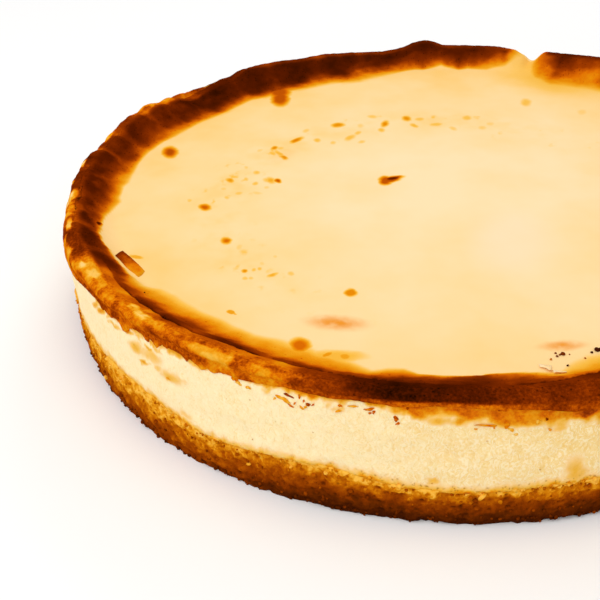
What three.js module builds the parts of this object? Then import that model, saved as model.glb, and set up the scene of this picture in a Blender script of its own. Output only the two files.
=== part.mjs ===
// A whole baked cheesecake, uncut: a pressed biscuit base under a baked cheese filling with a browned rim.
// Millimetres, +Z up, the origin at the middle of the underside. Azimuths are degrees round from +X.
import * as THREE from "three";

// The tin that shaped the cake, and the heights of its layers
const cakeRadius = 130; // the browned lip, where the cake is widest
const wallRadius = 129.5; // the pale side of the filling
const footRadius = 128.4; // the biscuit base where it stands
const baseHeight = 15.1; // the biscuit base at the side, on average
const baseHeightInside = 14;
const lipHeight = 38.4; // the ragged lower edge of the browned lip
const crestHeight = 41.7; // the top of the rim
const crestRadius = 125.2;
const plateauHeight = 36.3; // the smooth top inside the rim
const plateauRadius = 112;
const layerGap = 0.3;

// The rings that make the sides: shares of the way up the base, and up from the base to the lip
const baseLevels = [0, 0.1, 0.25, 0.45, 0.68, 0.88];
const wallLevels = [0.06, 0.3, 0.55, 0.8];

// The rim's section from under the lip to the crest: the radius, the share of the way up to the crest,
// and the shares of a fold's rise that push it out and up
const rimSection = [
  { radius: wallRadius - 0.2, level: -0.15, foldOut: 0, foldUp: 0 },
  { radius: cakeRadius, level: 0.1, foldOut: 0, foldUp: 0 },
  { radius: cakeRadius - 0.5, level: 0.55, foldOut: 0.3, foldUp: 0 },
  { radius: cakeRadius - 1.9, level: 0.86, foldOut: 0.3, foldUp: 0.7 },
  { radius: crestRadius, level: 1, foldOut: 0, foldUp: 1 },
];
const slopeFold = 0.7; // the share of a fold that runs on down the inner slope

// Slow rises and falls round the cake: height in mm, how many of them, and their phase in radians
const baseWaves = [
  [1.9, 3, 3.12],
  [1.0, 7, 1.3],
  [0.9, 13, -0.07],
];
const lipWaves = [
  [1.2, 3, -0.05],
  [0.3, 17, 1.0],
  [0.2, 41, 2.0],
];
const crestWaves = [
  [0.6, 2, 0.6],
  [0.3, 3, 0.65],
  [0.25, 9, 1.3],
];
const footWaves = [
  [1.2, 4, 0.4],
  [0.9, 9, 2.2],
];

// Single humps and dips of the rim
const crestHumps = [
  { azimuth: 160, halfWidth: 12, rise: 0.9 },
  { azimuth: 143, halfWidth: 9, rise: -0.8 },
  { azimuth: 129, halfWidth: 12, rise: 0.7 },
  { azimuth: 104, halfWidth: 6, rise: -0.7 },
  { azimuth: 94, halfWidth: 6.5, rise: 2.2 },
  { azimuth: 75.5, halfWidth: 4.5, rise: -0.8 },
  { azimuth: -78, halfWidth: 7, rise: -0.7 },
  { azimuth: -119, halfWidth: 14, rise: 0.5 },
];
const rimNotch = { azimuth: 72.2, halfWidth: 2.3, rise: -2.3 };

// Folds that cross the rim where the skin puckered, on the left and round the back
const foldStart = 98;
const foldEnd = 236;
const foldWidth = 3.5; // degrees
const foldRise = 0.85;
const backFoldShare = 0.5; // the folds round the back are lower
const backFoldEnd = 132;

// The split between the rim and the top along the front: a narrow groove
const grooveRadius = 121.6;
const grooveHalfWidth = 1.1;
const grooves = [
  { azimuth: -117, halfWidth: 21, rise: -2.4 },
  { azimuth: -80, halfWidth: 20, rise: -1.0 },
];
const innerShoulder = { azimuth: -98, halfWidth: 44, rise: 0.7 };
const lowSlopeRadius = 118;

// A flake of skin that stands up from the inner slope, front left
const skinFlake = { azimuth: -144.4, halfWidth: 5.5, radius: 114.6, halfBreadth: 3.2, rise: 1.3 };

// Radii where the layers' meeting face turns flat, and of the rings across the top
const meetingRadii = [wallRadius - 0.3, wallRadius - 7, wallRadius - 15];
const topRadii = [100, 80, 58, 36];

// Steps round the cake, in degrees, from the azimuth where the rings start
const firstAzimuth = 66;
const foldStep = 0.95;
const rimStep = 1.9;
const baseStep = 1.7;
const wallStep = 2.5;
const topSteps = [2.5, 4, 6, 9, 15];

const radians = THREE.MathUtils.degToRad;

function seededDraws(seed) {
  let state = seed;
  return () => {
    state = (Math.imul(state, 1664525) + 1013904223) >>> 0;
    return state / 4294967296;
  };
}

function waveSum(azimuth, waves) {
  const waveAt = ([height, count, phase]) => height * Math.sin(count * radians(azimuth) + phase);
  return waves.reduce((sum, wave) => sum + waveAt(wave), 0);
}

// A smooth hump: its full rise at its azimuth, nothing beyond its half width
function humpAt(azimuth, hump) {
  const away = THREE.MathUtils.euclideanModulo(azimuth - hump.azimuth + 180, 360) - 180;
  if (Math.abs(away) >= hump.halfWidth) return 0;
  return (hump.rise * (1 + Math.cos((Math.PI * away) / hump.halfWidth))) / 2;
}

function humpSum(azimuth, humps) {
  return humps.reduce((sum, hump) => sum + humpAt(azimuth, hump), 0);
}

// Uneven relief round a wall: random knots on a grid of azimuth and height, with smooth slopes between
function makeRelief(seed, depth, knotsRound, knotSpacing) {
  const draw = seededDraws(seed);
  const rows = 40;
  const knots = Array.from({ length: rows * knotsRound }, () => depth * (2 * draw() - 1));
  const knot = (row, column) => knots[Math.min(row, rows - 1) * knotsRound + (column % knotsRound)];
  return (azimuth, height) => {
    const across = (THREE.MathUtils.euclideanModulo(azimuth, 360) / 360) * knotsRound;
    const up = Math.max(0, height / knotSpacing);
    const column = Math.floor(across);
    const row = Math.floor(up);
    const u = THREE.MathUtils.smoothstep(across - column, 0, 1);
    const v = THREE.MathUtils.smoothstep(up - row, 0, 1);
    const lower = THREE.MathUtils.lerp(knot(row, column), knot(row, column + 1), u);
    const upper = THREE.MathUtils.lerp(knot(row + 1, column), knot(row + 1, column + 1), u);
    return THREE.MathUtils.lerp(lower, upper, v);
  };
}

function makeFolds() {
  const draw = seededDraws(11);
  const folds = [];
  let start = foldStart;
  while (start < foldEnd) {
    const width = foldWidth * (0.7 + 0.6 * draw());
    const strength = (0.4 + 0.9 * draw()) * (start < backFoldEnd ? backFoldShare : 1);
    folds.push({ azimuth: start + width / 2, halfWidth: width / 2, rise: foldRise * strength });
    start += width;
  }
  return folds;
}

const folds = makeFolds();
const rimKnotSpacing = 2.5;
const wallRelief = makeRelief(21, 0.3, 96, 5);
const rimRelief = makeRelief(22, 0.35, 110, rimKnotSpacing);
const crumbRelief = makeRelief(23, 0.75, 200, 2.2);

const baseTopAt = (azimuth) => baseHeight + waveSum(azimuth, baseWaves);
const lipAt = (azimuth) => lipHeight + waveSum(azimuth, lipWaves);
const foldAt = (azimuth) => humpSum(azimuth, folds);
const crestAt = (azimuth) =>
  crestHeight + waveSum(azimuth, crestWaves) + humpSum(azimuth, crestHumps) + humpAt(azimuth, rimNotch);

// The top dips and swells very slightly, as a set custard does
function plateauAt(x, y) {
  return plateauHeight + 0.3 * Math.sin(x / 31 + 0.6) * Math.cos(y / 37) + 0.15 * Math.sin((x - y) / 17);
}

// Azimuths all the way round, closer together where the rim is folded, humped or notched
function azimuthsEvery(step, fineStep = step) {
  const azimuths = [];
  let azimuth = firstAzimuth;
  while (azimuth < firstAzimuth + 360) {
    azimuths.push(azimuth);
    azimuth += azimuth < foldEnd ? fineStep : step;
  }
  return azimuths;
}

// One closed loop of points round the axis
function ring(azimuths, radiusAt, heightAt) {
  const points = azimuths.map((azimuth) => {
    const radius = radiusAt(azimuth);
    const x = radius * Math.cos(radians(azimuth));
    const y = radius * Math.sin(radians(azimuth));
    return new THREE.Vector3(x, y, heightAt(azimuth, x, y));
  });
  return { azimuths, points };
}

// The point on the axis where a face closes
function centre(height) {
  return { azimuths: [], points: [new THREE.Vector3(0, 0, height)] };
}

// Triangles between two neighbouring rings, which may have different numbers of points
function stitch(first, second, triangles) {
  const pointOf = (loop, index) => loop.points[index % loop.points.length];
  const nextAzimuth = (loop, index) =>
    index + 1 < loop.azimuths.length ? loop.azimuths[index + 1] : loop.azimuths[0] + 360;
  let i = 0;
  let j = 0;
  while (i < first.azimuths.length || j < second.azimuths.length) {
    const firstNext = i < first.azimuths.length ? nextAzimuth(first, i) : Infinity;
    const secondNext = j < second.azimuths.length ? nextAzimuth(second, j) : Infinity;
    if (firstNext <= secondNext) {
      triangles.push(pointOf(first, i), pointOf(first, i + 1), pointOf(second, j));
      i += 1;
    } else {
      triangles.push(pointOf(first, i), pointOf(second, j + 1), pointOf(second, j));
      j += 1;
    }
  }
}

// A closed solid from rings that run from the middle of the underside, out, up and back in to the middle
function solidOfRings(rings) {
  const triangles = [];
  rings.slice(1).forEach((next, index) => stitch(rings[index], next, triangles));
  const geometry = new THREE.BufferGeometry().setFromPoints(triangles);
  geometry.computeVertexNormals();
  return geometry;
}

// The face where the two layers meet, from the side inwards: wavy at the side and flat inside
function meetingRings(lift) {
  const side = azimuthsEvery(wallStep);
  const [edge, bend, flat] = meetingRadii;
  return [
    ring(side, () => edge, (azimuth) => baseTopAt(azimuth) + lift),
    ring(side, () => bend, (azimuth) => (baseTopAt(azimuth) + baseHeightInside) / 2 + lift),
    ring(azimuthsEvery(topSteps[1]), () => flat, () => baseHeightInside + lift),
    centre(baseHeightInside + lift),
  ];
}

// The biscuit base: crumbs pressed into a disc, ragged at the side and wider at half height than at the foot
function biscuitBase() {
  const round = azimuthsEvery(baseStep);
  const side = baseLevels.map((level) => {
    const bulge = (wallRadius - footRadius) * Math.sin((Math.PI / 2) * Math.min(1, 2 * level));
    const radiusAt = (azimuth) => footRadius + bulge + crumbRelief(azimuth, level * baseHeight);
    return ring(round, radiusAt, (azimuth) => level * baseTopAt(azimuth));
  });
  const rings = [centre(0), ...side, ...meetingRings(0)];
  const material = new THREE.MeshStandardMaterial({ color: 0x8a4206, roughness: 0.9, metalness: 0 });
  const mesh = new THREE.Mesh(solidOfRings(rings), material);
  mesh.name = "biscuit_base";
  return mesh;
}

// The pale side of the filling, from the base up to just under the lip
function wallRings() {
  const side = azimuthsEvery(wallStep);
  return wallLevels.map((level) => {
    const heightAt = (azimuth) => THREE.MathUtils.lerp(baseTopAt(azimuth) + layerGap, lipAt(azimuth), level);
    return ring(side, (azimuth) => wallRadius + wallRelief(azimuth, heightAt(azimuth)), heightAt);
  });
}

// The browned rim: under the lip, round its outer face, over the crest, into the split and down to the top
function rimRings() {
  const round = azimuthsEvery(rimStep, foldStep);
  const outerFace = rimSection.map((stage, row) => {
    const lump = (azimuth) => rimRelief(azimuth, 2 * row * rimKnotSpacing);
    const radiusAt = (azimuth) => stage.radius + lump(azimuth) + stage.foldOut * foldAt(azimuth);
    const riseAt = (azimuth) => THREE.MathUtils.lerp(lipAt(azimuth), crestAt(azimuth), stage.level);
    const heightAt = (azimuth) => riseAt(azimuth) + lump(azimuth) + stage.foldUp * foldAt(azimuth);
    return ring(round, radiusAt, heightAt);
  });
  const flakeAt = (azimuth, radius) => {
    const across = 1 - Math.abs(radius - skinFlake.radius) / skinFlake.halfBreadth;
    return Math.max(0, across) * humpAt(azimuth, skinFlake);
  };
  const slopeAt = (azimuth, radius) => {
    const share = 1 - THREE.MathUtils.smoothstep(radius, plateauRadius, crestRadius);
    const height = THREE.MathUtils.lerp(crestAt(azimuth), plateauHeight, share);
    return height + slopeFold * foldAt(azimuth) * (1 - share) + flakeAt(azimuth, radius);
  };
  const slopeRing = (radius, humps = []) =>
    ring(round, () => radius, (azimuth) => slopeAt(azimuth, radius) + humpSum(azimuth, humps));
  return [
    ...outerFace,
    slopeRing(grooveRadius + grooveHalfWidth),
    slopeRing(grooveRadius, grooves),
    slopeRing(grooveRadius - grooveHalfWidth, [innerShoulder]),
    slopeRing(lowSlopeRadius),
    slopeRing(skinFlake.radius),
  ];
}

// The smooth top, from the foot of the rim's slope in to the middle
function topRings() {
  const foot = ring(
    azimuthsEvery(topSteps[0]),
    (azimuth) => plateauRadius - 1 + waveSum(azimuth, footWaves),
    (azimuth, x, y) => plateauAt(x, y),
  );
  const inner = topRadii.map((radius, index) =>
    ring(azimuthsEvery(topSteps[index + 1]), () => radius, (azimuth, x, y) => plateauAt(x, y)),
  );
  return [foot, ...inner, centre(plateauAt(0, 0))];
}

function cheeseFilling() {
  const underside = meetingRings(layerGap).reverse();
  const rings = [...underside, ...wallRings(), ...rimRings(), ...topRings()];
  const material = new THREE.MeshStandardMaterial({ color: 0xfddc9c, roughness: 0.45, metalness: 0 });
  const mesh = new THREE.Mesh(solidOfRings(rings), material);
  mesh.name = "cheese_filling";
  return mesh;
}

const cheesecake = new THREE.Group();
cheesecake.add(biscuitBase(), cheeseFilling());

export default cheesecake;
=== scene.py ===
import functools
import math
import bpy
import numpy as np
from mathutils import Euler, Matrix, Vector, noise
from mathutils.bvhtree import BVHTree


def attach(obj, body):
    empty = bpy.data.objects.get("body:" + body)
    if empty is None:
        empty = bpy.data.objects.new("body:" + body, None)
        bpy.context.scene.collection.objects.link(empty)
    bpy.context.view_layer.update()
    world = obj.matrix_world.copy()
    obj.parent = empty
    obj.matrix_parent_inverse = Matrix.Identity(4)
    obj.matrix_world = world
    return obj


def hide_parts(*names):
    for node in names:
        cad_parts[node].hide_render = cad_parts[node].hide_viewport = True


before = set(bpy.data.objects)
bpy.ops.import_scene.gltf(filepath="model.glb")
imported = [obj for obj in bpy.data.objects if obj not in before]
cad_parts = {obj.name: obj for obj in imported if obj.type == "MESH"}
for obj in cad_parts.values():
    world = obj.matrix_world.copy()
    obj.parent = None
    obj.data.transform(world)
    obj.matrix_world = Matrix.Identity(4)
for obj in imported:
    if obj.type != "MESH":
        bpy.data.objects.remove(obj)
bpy.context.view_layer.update()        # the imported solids, which the new pieces stand for
mm = 0.001

# The cake in millimetres. Azimuths are degrees round from +X, and the viewer is towards -Y
cake = {
    "radius": 130.0,             # the browned lip, where the cake is widest
    "wallRadius": 129.5,         # the pale side
    "footRadius": 128.4,         # the biscuit base where it stands
    "baseHeight": 15.1,
    "baseHeightInside": 14.0,
    "lipHeight": 38.4,           # the ragged lower edge of the browned lip
    "crestHeight": 41.7,
    "crestRadius": 125.2,
    "plateauHeight": 36.3,
    "plateauRadius": 112.0,
    "slopeFold": 0.7,            # how much of a fold runs on down the inner slope
    "segments": 1200,
}

# Slow rises and falls round the cake: height, how many, phase in radians
waves = {
    "base": [(1.9, 3, 3.12), (1.0, 7, 1.3), (0.9, 13, -0.07)],
    "lip": [(1.2, 3, -0.05), (0.3, 17, 1.0), (0.2, 41, 2.0)],
    "crest": [(0.6, 2, 0.6), (0.3, 3, 0.65), (0.25, 9, 1.3)],
}

# Single humps and dips: azimuth, half width in degrees, rise
baseDips = [(-139, 20, -0.6)]
crestHumps = [
    (160, 12, 0.9), (143, 9, -0.8), (129, 12, 0.7), (104, 6, -0.7), (94, 6.5, 2.2), (75.5, 4.5, -0.8),
    (-78, 7, -0.7), (-119, 14, 0.5), (72.2, 2.3, -2.9), (73.6, 3.4, -1.6), (94, 5, 0.6),
]

# Small corrections of the crest and of the base's top edge, by azimuth, in mm
crestTrim = {
    -180: 0.1, -176: -0.4, -173: -0.3, -169: -0.7, -160: 0, 56: 1.5, 61: 1.7, 64: 1.1, 70: 0.3, 73: -0.5,
    76: 0.8, 82: 0.8, 85: 0.6, 88: 1, 91: 0, 94: 0.8, 97: 1.3, 100: 0.2, 103: -0.5, 106: 0, 112: -0.4,
    115: 0.2, 118: 0, 121: -0.5, 125: 0, 133: 0.5, 136: -0.9, 139: -1.3, 142: -1.9, 145: -2.1, 148: -3.2,
    151: -1.3, 154: -0.8, 157: 0.1, 160: -0.4, 166: 0.1, 169: -0.6, 172: -1.4, 175: -1, 178: 0.4,
}
baseTrim = {
    -180: -1.4, -165: -2, -152: -1.5, -140: -0.4, -128: -0.3, -124: -0.6, -118: -0.8, -108: -0.3, -98: -0.4,
    -90: -0.9, -70: -0.8, -55: 0, 150: 0,
}

# Folds of the skin: azimuth, half width in degrees, rise
folds = [
    (103, 4.4, 0.25), (112, 5, 0.3), (122, 5.2, 0.3), (132, 4.6, 0.35), (141, 5, 0.4), (150.6, 3.6, 0.6),
    (157.2, 2.8, 0.5), (164.6, 4.8, 0.9), (172.4, 3.1, 0.8), (178.8, 3.4, 0.8), (-171.8, 5.5, 1),
    (-163.7, 2.4, 0.7), (-159.1, 2.3, 0.6), (-152.6, 4.1, 1), (-144.8, 3.8, 0.7), (-138.4, 2.8, 0.4),
    (-132.6, 3.2, 0.35), (-125.6, 3.9, 0.35), (-117.4, 4.4, 0.3), (-108.6, 4.4, 0.25), (-49, 4, 0.3),
    (-41, 4.4, 0.4), (-31.6, 5, 0.5), (-23, 3.6, 0.35), (-15, 4.6, 0.5), (-5.6, 4.8, 0.45), (3, 3.8, 0.5),
    (12, 5, 0.4), (21, 4, 0.5), (30, 5, 0.4), (41, 6, 0.35), (52, 5, 0.3),
]


def deselectAll():
    if bpy.context.mode != "OBJECT":
        bpy.ops.object.mode_set(mode="OBJECT")
    bpy.ops.object.select_all(action="DESELECT")


def activate(piece):
    deselectAll()
    piece.select_set(True)
    bpy.context.view_layer.objects.active = piece


def editMode():
    bpy.ops.object.mode_set(mode="EDIT")


def objectMode():
    bpy.ops.object.mode_set(mode="OBJECT")


def applyModifier(piece, kind, **settings):
    activate(piece)
    modifier = piece.modifiers.new(kind.lower(), kind)
    for name, value in settings.items():
        setattr(modifier, name, value)
    bpy.ops.object.modifier_apply(modifier=modifier.name)


def readVectors(values, name):
    flat = np.empty(len(values) * 3, np.float32)
    values.foreach_get(name, flat)
    return flat.reshape(-1, 3).astype(float)


def readPlaces(piece):
    return readVectors(piece.data.vertices, "co") / mm


def readNormals(piece):
    return readVectors(piece.data.vertex_normals, "vector")


def writePlaces(piece, places):
    piece.data.vertices.foreach_set("co", (places * mm).astype(np.float32).ravel())
    piece.data.update()


def writeAttribute(piece, name, values):
    attribute = piece.data.attributes.new(name, "FLOAT", "POINT")
    attribute.data.foreach_set("value", np.asarray(values, np.float32).ravel())


def cover(piece, material):
    piece.data.materials.append(material)
    activate(piece)
    bpy.ops.object.shade_smooth()


# A chain of vertices drawn from the axis outwards, turned all the way round Z into a closed solid
def turnSection(name, section, segments):
    deselectAll()
    bpy.ops.mesh.primitive_plane_add(size=mm, location=(0, 0, 0))
    piece = bpy.context.object
    piece.name = name
    piece.data.name = name
    editMode()
    bpy.ops.mesh.merge(type="CENTER")
    bpy.ops.transform.translate(value=(section[0][0] * mm, 0, section[0][1] * mm))
    for here, after in zip(section, section[1:]):
        step = ((after[0] - here[0]) * mm, 0, (after[1] - here[1]) * mm)
        bpy.ops.mesh.extrude_vertices_move(TRANSFORM_OT_translate={"value": step})
    applyModifier(piece, "SCREW", axis="Z", angle=2 * math.pi, screw_offset=0, steps=segments,
                  render_steps=segments, use_merge_vertices=True, merge_threshold=0.01 * mm)
    editMode()
    bpy.ops.mesh.select_all(action="SELECT")
    bpy.ops.mesh.remove_doubles(threshold=0.01 * mm)
    bpy.ops.mesh.normals_make_consistent(inside=False)
    objectMode()
    return piece


# Which point of the section each vertex was turned from
def rowsOf(places, section):
    radius = np.hypot(places[:, 0], places[:, 1])
    points = np.array([point[:2] for point in section], float)
    away = (radius[:, None] - points[:, 0]) ** 2 + (places[:, 2:3] - points[:, 1]) ** 2
    return away.argmin(axis=1)


# A smooth line through a few knots, with points about a spacing apart
def smoothLine(knots, spacing):
    knots = np.array(knots, float)
    padded = np.vstack([2 * knots[0] - knots[1], knots, 2 * knots[-1] - knots[-2]])
    line = []
    for a, b, c, d in zip(padded, padded[1:], padded[2:], padded[3:]):
        count = max(1, round(float(np.linalg.norm((c - b)[:2])) / spacing))
        for t in np.arange(count) / count:
            cubic = (3 * b - a - 3 * c + d) * t ** 3
            bend = 2 * b + (c - a) * t + (2 * a - 5 * b + 4 * c - d) * t * t + cubic
            line.append(tuple(bend / 2))
    line.append(tuple(knots[-1]))
    return line


def wrapped(azimuth):
    return (azimuth + 180) % 360 - 180


def azimuthOf(places):
    return np.degrees(np.arctan2(places[:, 1], places[:, 0]))


def radiusOf(places):
    return np.hypot(places[:, 0], places[:, 1])


# Places at a given radius moved to a new radius and height
def movedPlaces(places, radius, newRadius, newHeight):
    scale = newRadius / np.maximum(radius, 1e-6)
    return np.column_stack([places[:, 0] * scale, places[:, 1] * scale, newHeight])


def waveSum(azimuth, group):
    return sum(height * np.sin(np.radians(azimuth) * count + phase) for height, count, phase in waves[group])


def humpSum(azimuth, humps):
    total = np.zeros_like(azimuth)
    for middle, halfWidth, rise in humps:
        away = np.minimum(np.abs(wrapped(azimuth - middle)) / halfWidth, 1)
        total += rise * (1 + np.cos(np.pi * away)) / 2
    return total


# A value that changes round the cake, from knots of azimuth and value
def roundTheCake(azimuth, knots):
    return np.interp(wrapped(azimuth), list(knots), list(knots.values()), period=360)


def blend(low, high, share):
    return low + (high - low) * share


def smoothStep(value, start, end):
    share = np.clip((value - start) / (end - start), 0, 1)
    return share * share * (3 - 2 * share)


# The same draws on every run
def seededDraws(seed):
    state = seed
    while True:
        state = (state * 1664525 + 1013904223) % 2 ** 32
        yield state / 2 ** 32


# Uneven relief round a wall: random knots on a grid of azimuth and height, with smooth slopes between
def makeRelief(seed, depth, knotsRound, knotSpacing, rows=40):
    draws = seededDraws(seed)
    values = [depth * (2 * next(draws) - 1) for _ in range(rows * knotsRound)]
    knots = np.array(values).reshape(rows, knotsRound)

    def reliefAt(azimuth, height):
        across = (azimuth % 360) / 360 * knotsRound
        up = np.maximum(0, height / knotSpacing)
        column = np.floor(across).astype(int)
        row = np.floor(up).astype(int)
        u = smoothStep(across - column, 0, 1)
        v = smoothStep(up - row, 0, 1)
        left = column % knotsRound
        right = (column + 1) % knotsRound
        lower = np.minimum(row, rows - 1)
        upper = np.minimum(row + 1, rows - 1)
        return blend(blend(knots[lower, left], knots[lower, right], u),
                     blend(knots[upper, left], knots[upper, right], u), v)
    return reliefAt


# Folds of skin, round on top with a sharp crease between two of them: their rise, and their shape from 0 to 1
def foldAt(azimuth):
    rise = np.zeros_like(azimuth)
    shape = np.zeros_like(azimuth)
    for middle, halfWidth, height in folds:
        away = np.minimum(np.abs(wrapped(azimuth - middle)) / halfWidth, 1)
        rise += height * (1 - away ** 2.4)
        shape = np.maximum(shape, 1 - away ** 2.4)
    return rise, shape


def baseTopAt(azimuth):
    trim = roundTheCake(azimuth, baseTrim)
    return cake["baseHeight"] + waveSum(azimuth, "base") + humpSum(azimuth, baseDips) + trim


def lipAt(azimuth):
    return cake["lipHeight"] + waveSum(azimuth, "lip")


def crestAt(azimuth):
    trim = roundTheCake(azimuth, crestTrim)
    return cake["crestHeight"] + waveSum(azimuth, "crest") + humpSum(azimuth, crestHumps) + trim


def plateauAt(x, y):
    return cake["plateauHeight"] + 0.3 * np.sin(x / 31 + 0.6) * np.cos(y / 37) + 0.15 * np.sin((x - y) / 17)


# Fractal noise at every place, about -1 to 1, with features of the given size in mm
def lumpsAt(places, size, octaves=3, shift=0.0):
    spots = places / size + shift
    return np.array([noise.fractal(Vector(spot), 0.9, 2.0, octaves) for spot in spots])


# Rounded grains of the given size, with cracks between them
def grainsAt(places, size):
    return np.array([0.5 - noise.voronoi(Vector(spot))[0][0] for spot in places / size])


# A colour as a picture editor shows it, turned into Blender's linear light
def screenColour(code):
    parts = [int(code[i:i + 2], 16) / 255 for i in (0, 2, 4)]
    linear = [part / 12.92 if part <= 0.04045 else ((part + 0.055) / 1.055) ** 2.4 for part in parts]
    return tuple(round(part, 4) for part in (*linear, 1.0))


# The camera, fitted to the outlines of the rim and the base

camera = {
    "distance": 365.97,      # mm from the middle of the underside
    "elevation": 30.967,
    "turn": -7.92,           # degrees to the left of the middle of the cake
    "tilt": -2.10,
    "roll": 1.913,
    "focalPixels": 981.2,
    "imageWidth": 600,
    "sensorWidth": 36.0,
}


def makeCamera():
    elevation, turn, tilt, roll = (math.radians(camera[key]) for key in ("elevation", "turn", "tilt", "roll"))
    place = Vector((0, -math.cos(elevation), math.sin(elevation))) * camera["distance"] * mm
    axes = Matrix.Rotation(math.pi / 2 - elevation, 4, "X")
    for angle, axis in ((-turn, "Y"), (tilt, "X"), (roll, "Z")):
        axes = axes @ Matrix.Rotation(angle, 4, axis)
    bpy.ops.object.camera_add()
    piece = bpy.context.object
    piece.name = "camera"
    piece.matrix_world = Matrix.Translation(place) @ axes
    piece.data.sensor_width = camera["sensorWidth"]
    piece.data.lens = camera["focalPixels"] * camera["sensorWidth"] / camera["imageWidth"]
    piece.data.clip_start = 0.01
    bpy.context.scene.camera = piece


# Studio light: a pale room all round, a large soft box above the front left and a weak one behind

studio = {
    "roomStrength": 0.72,
    "roomColour": "ffffff",
    "floorColour": "f6f5f4",
    "floorSize": 8.0,
    # name, azimuth, elevation, distance, size, power
    "boxes": [("keyLight", -140, 52, 1.2, 0.7, 5.2), ("fillLight", -60, 35, 1.3, 0.9, 2.2),
              ("backLight", 82, 38, 1.2, 0.5, 2.2)],
}


def makeStudio():
    scene = bpy.context.scene
    scene.view_settings.view_transform = "Standard"
    scene.view_settings.look = "None"
    world = bpy.data.worlds.new("room")
    world.use_nodes = True
    background = world.node_tree.nodes["Background"]
    background.inputs["Color"].default_value = screenColour(studio["roomColour"])
    background.inputs["Strength"].default_value = studio["roomStrength"]
    scene.world = world
    for name, azimuth, elevation, distance, size, power in studio["boxes"]:
        azimuth = math.radians(azimuth)
        elevation = math.radians(elevation)
        away = Vector((math.cos(azimuth) * math.cos(elevation), math.sin(azimuth) * math.cos(elevation),
                       math.sin(elevation)))
        deselectAll()
        bpy.ops.object.light_add(type="AREA", location=away * distance)
        lamp = bpy.context.object
        lamp.name = name
        lamp.rotation_euler = away.to_track_quat("Z", "Y").to_euler()
        lamp.data.size = size
        lamp.data.energy = power
    deselectAll()
    bpy.ops.mesh.primitive_plane_add(size=studio["floorSize"])
    floor = bpy.context.object
    floor.name = "floor"
    material = bpy.data.materials.new("paleFloor")
    material.use_nodes = True
    shader = material.node_tree.nodes["Principled BSDF"]
    shader.inputs["Base Color"].default_value = screenColour(studio["floorColour"])
    shader.inputs["Roughness"].default_value = 0.9
    shader.inputs["Specular IOR Level"].default_value = 0.1
    floor.data.materials.append(material)


print("camera and studio")
makeCamera()
makeStudio()


# Helpers for shader nodes. A node goes into the tree of the sockets that feed it

def isSocket(value):
    return isinstance(value, bpy.types.NodeSocket)


def feed(node, inputs):
    for key, value in inputs.items():
        if isSocket(value):
            node.id_data.links.new(value, node.inputs[key])
        else:
            node.inputs[key].default_value = value


def addNode(kind, inputs, tree=None, **settings):
    tree = tree or next(value.id_data for value in inputs.values() if isSocket(value))
    node = tree.nodes.new("ShaderNode" + kind)
    for name, value in settings.items():
        setattr(node, name, value)
    feed(node, inputs)
    return node


def maths(operation, first, second=0.0, clamp=False):
    return addNode("Math", {0: first, 1: second}, operation=operation, use_clamp=clamp).outputs[0]


def plus(*values):
    return functools.reduce(functools.partial(maths, "ADD"), values)


def times(*values):
    return functools.reduce(functools.partial(maths, "MULTIPLY"), values)


def minus(first, second):
    return maths("SUBTRACT", first, second)


def vectors(operation, first, second=(0.0, 0.0, 0.0), output=0):
    return addNode("VectorMath", {0: first, 1: second}, operation=operation).outputs[output]


def fade(value, start, end, low=0.0, high=1.0):
    limits = {"Value": value, "From Min": start, "From Max": end, "To Min": low, "To Max": high}
    return addNode("MapRange", limits, interpolation_type="SMOOTHSTEP").outputs["Result"]


# Two colours, each a socket or a code, mixed by a share
def mixColour(share, first, second):
    first, second = (screenColour(tone) if isinstance(tone, str) else tone for tone in (first, second))
    return addNode("Mix", {0: share, 6: first, 7: second}, data_type="RGBA").outputs[2]


# Noise with features of the given size in mm
def noiseAt(place, size, detail=2.0, roughness=0.5, distortion=0.0):
    values = {"Vector": place, "Scale": 1 / (size * mm), "Detail": detail, "Roughness": roughness,
              "Distortion": distortion}
    return addNode("TexNoise", values).outputs["Fac"]


# A colour ramp from a list of places and colours
def toneRamp(value, tones):
    ramp = addNode("ValToRGB", {"Fac": value})
    band = ramp.color_ramp
    band.elements[0].color = screenColour(tones[0][1])
    band.elements[1].color = screenColour(tones[-1][1])
    for position, code in tones[1:-1]:
        band.elements.new(position).color = screenColour(code)
    return ramp.outputs["Color"]


# A node group of inputs with their usual values, as a function that places it and gives its outputs
def makeGroup(name, build, **inputs):
    group = bpy.data.node_groups.new(name, "ShaderNodeTree")
    for label, value in inputs.items():
        kind = "Float" if isinstance(value, float) else "Vector"
        socket = group.interface.new_socket(label, in_out="INPUT", socket_type="NodeSocket" + kind)
        socket.default_value = value
    start = group.nodes.new("NodeGroupInput")
    outputs = build(*(start.outputs[label] for label in inputs))
    kinds = {"VALUE": "Float", "VECTOR": "Vector", "RGBA": "Color"}
    for label, value in outputs.items():
        group.interface.new_socket(label, in_out="OUTPUT", socket_type="NodeSocket" + kinds[value.type])
    feed(group.nodes.new("NodeGroupOutput"), outputs)
    return lambda **values: addNode("Group", values, node_tree=group).outputs


# How far the custard is baked, from pale cream at 0 to nearly black at 1, and its colour
caramelTones = [
    (0, "f6d9aa"), (0.1, "f5ce8d"), (0.18, "f1bf62"), (0.25, "edb23f"), (0.32, "e79c1e"), (0.4, "e08a0a"),
    (0.48, "d66c04"), (0.55, "bb5203"), (0.62, "993a01"), (0.7, "7a2901"), (0.8, "561900"), (0.9, "3a1000"),
    (1, "1a0600"),
]


def buildCaramel(bake):
    return {"Colour": toneRamp(bake, caramelTones), "Dull": fade(bake, 0.0, 0.8, 0.42, 0.6)}


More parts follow.
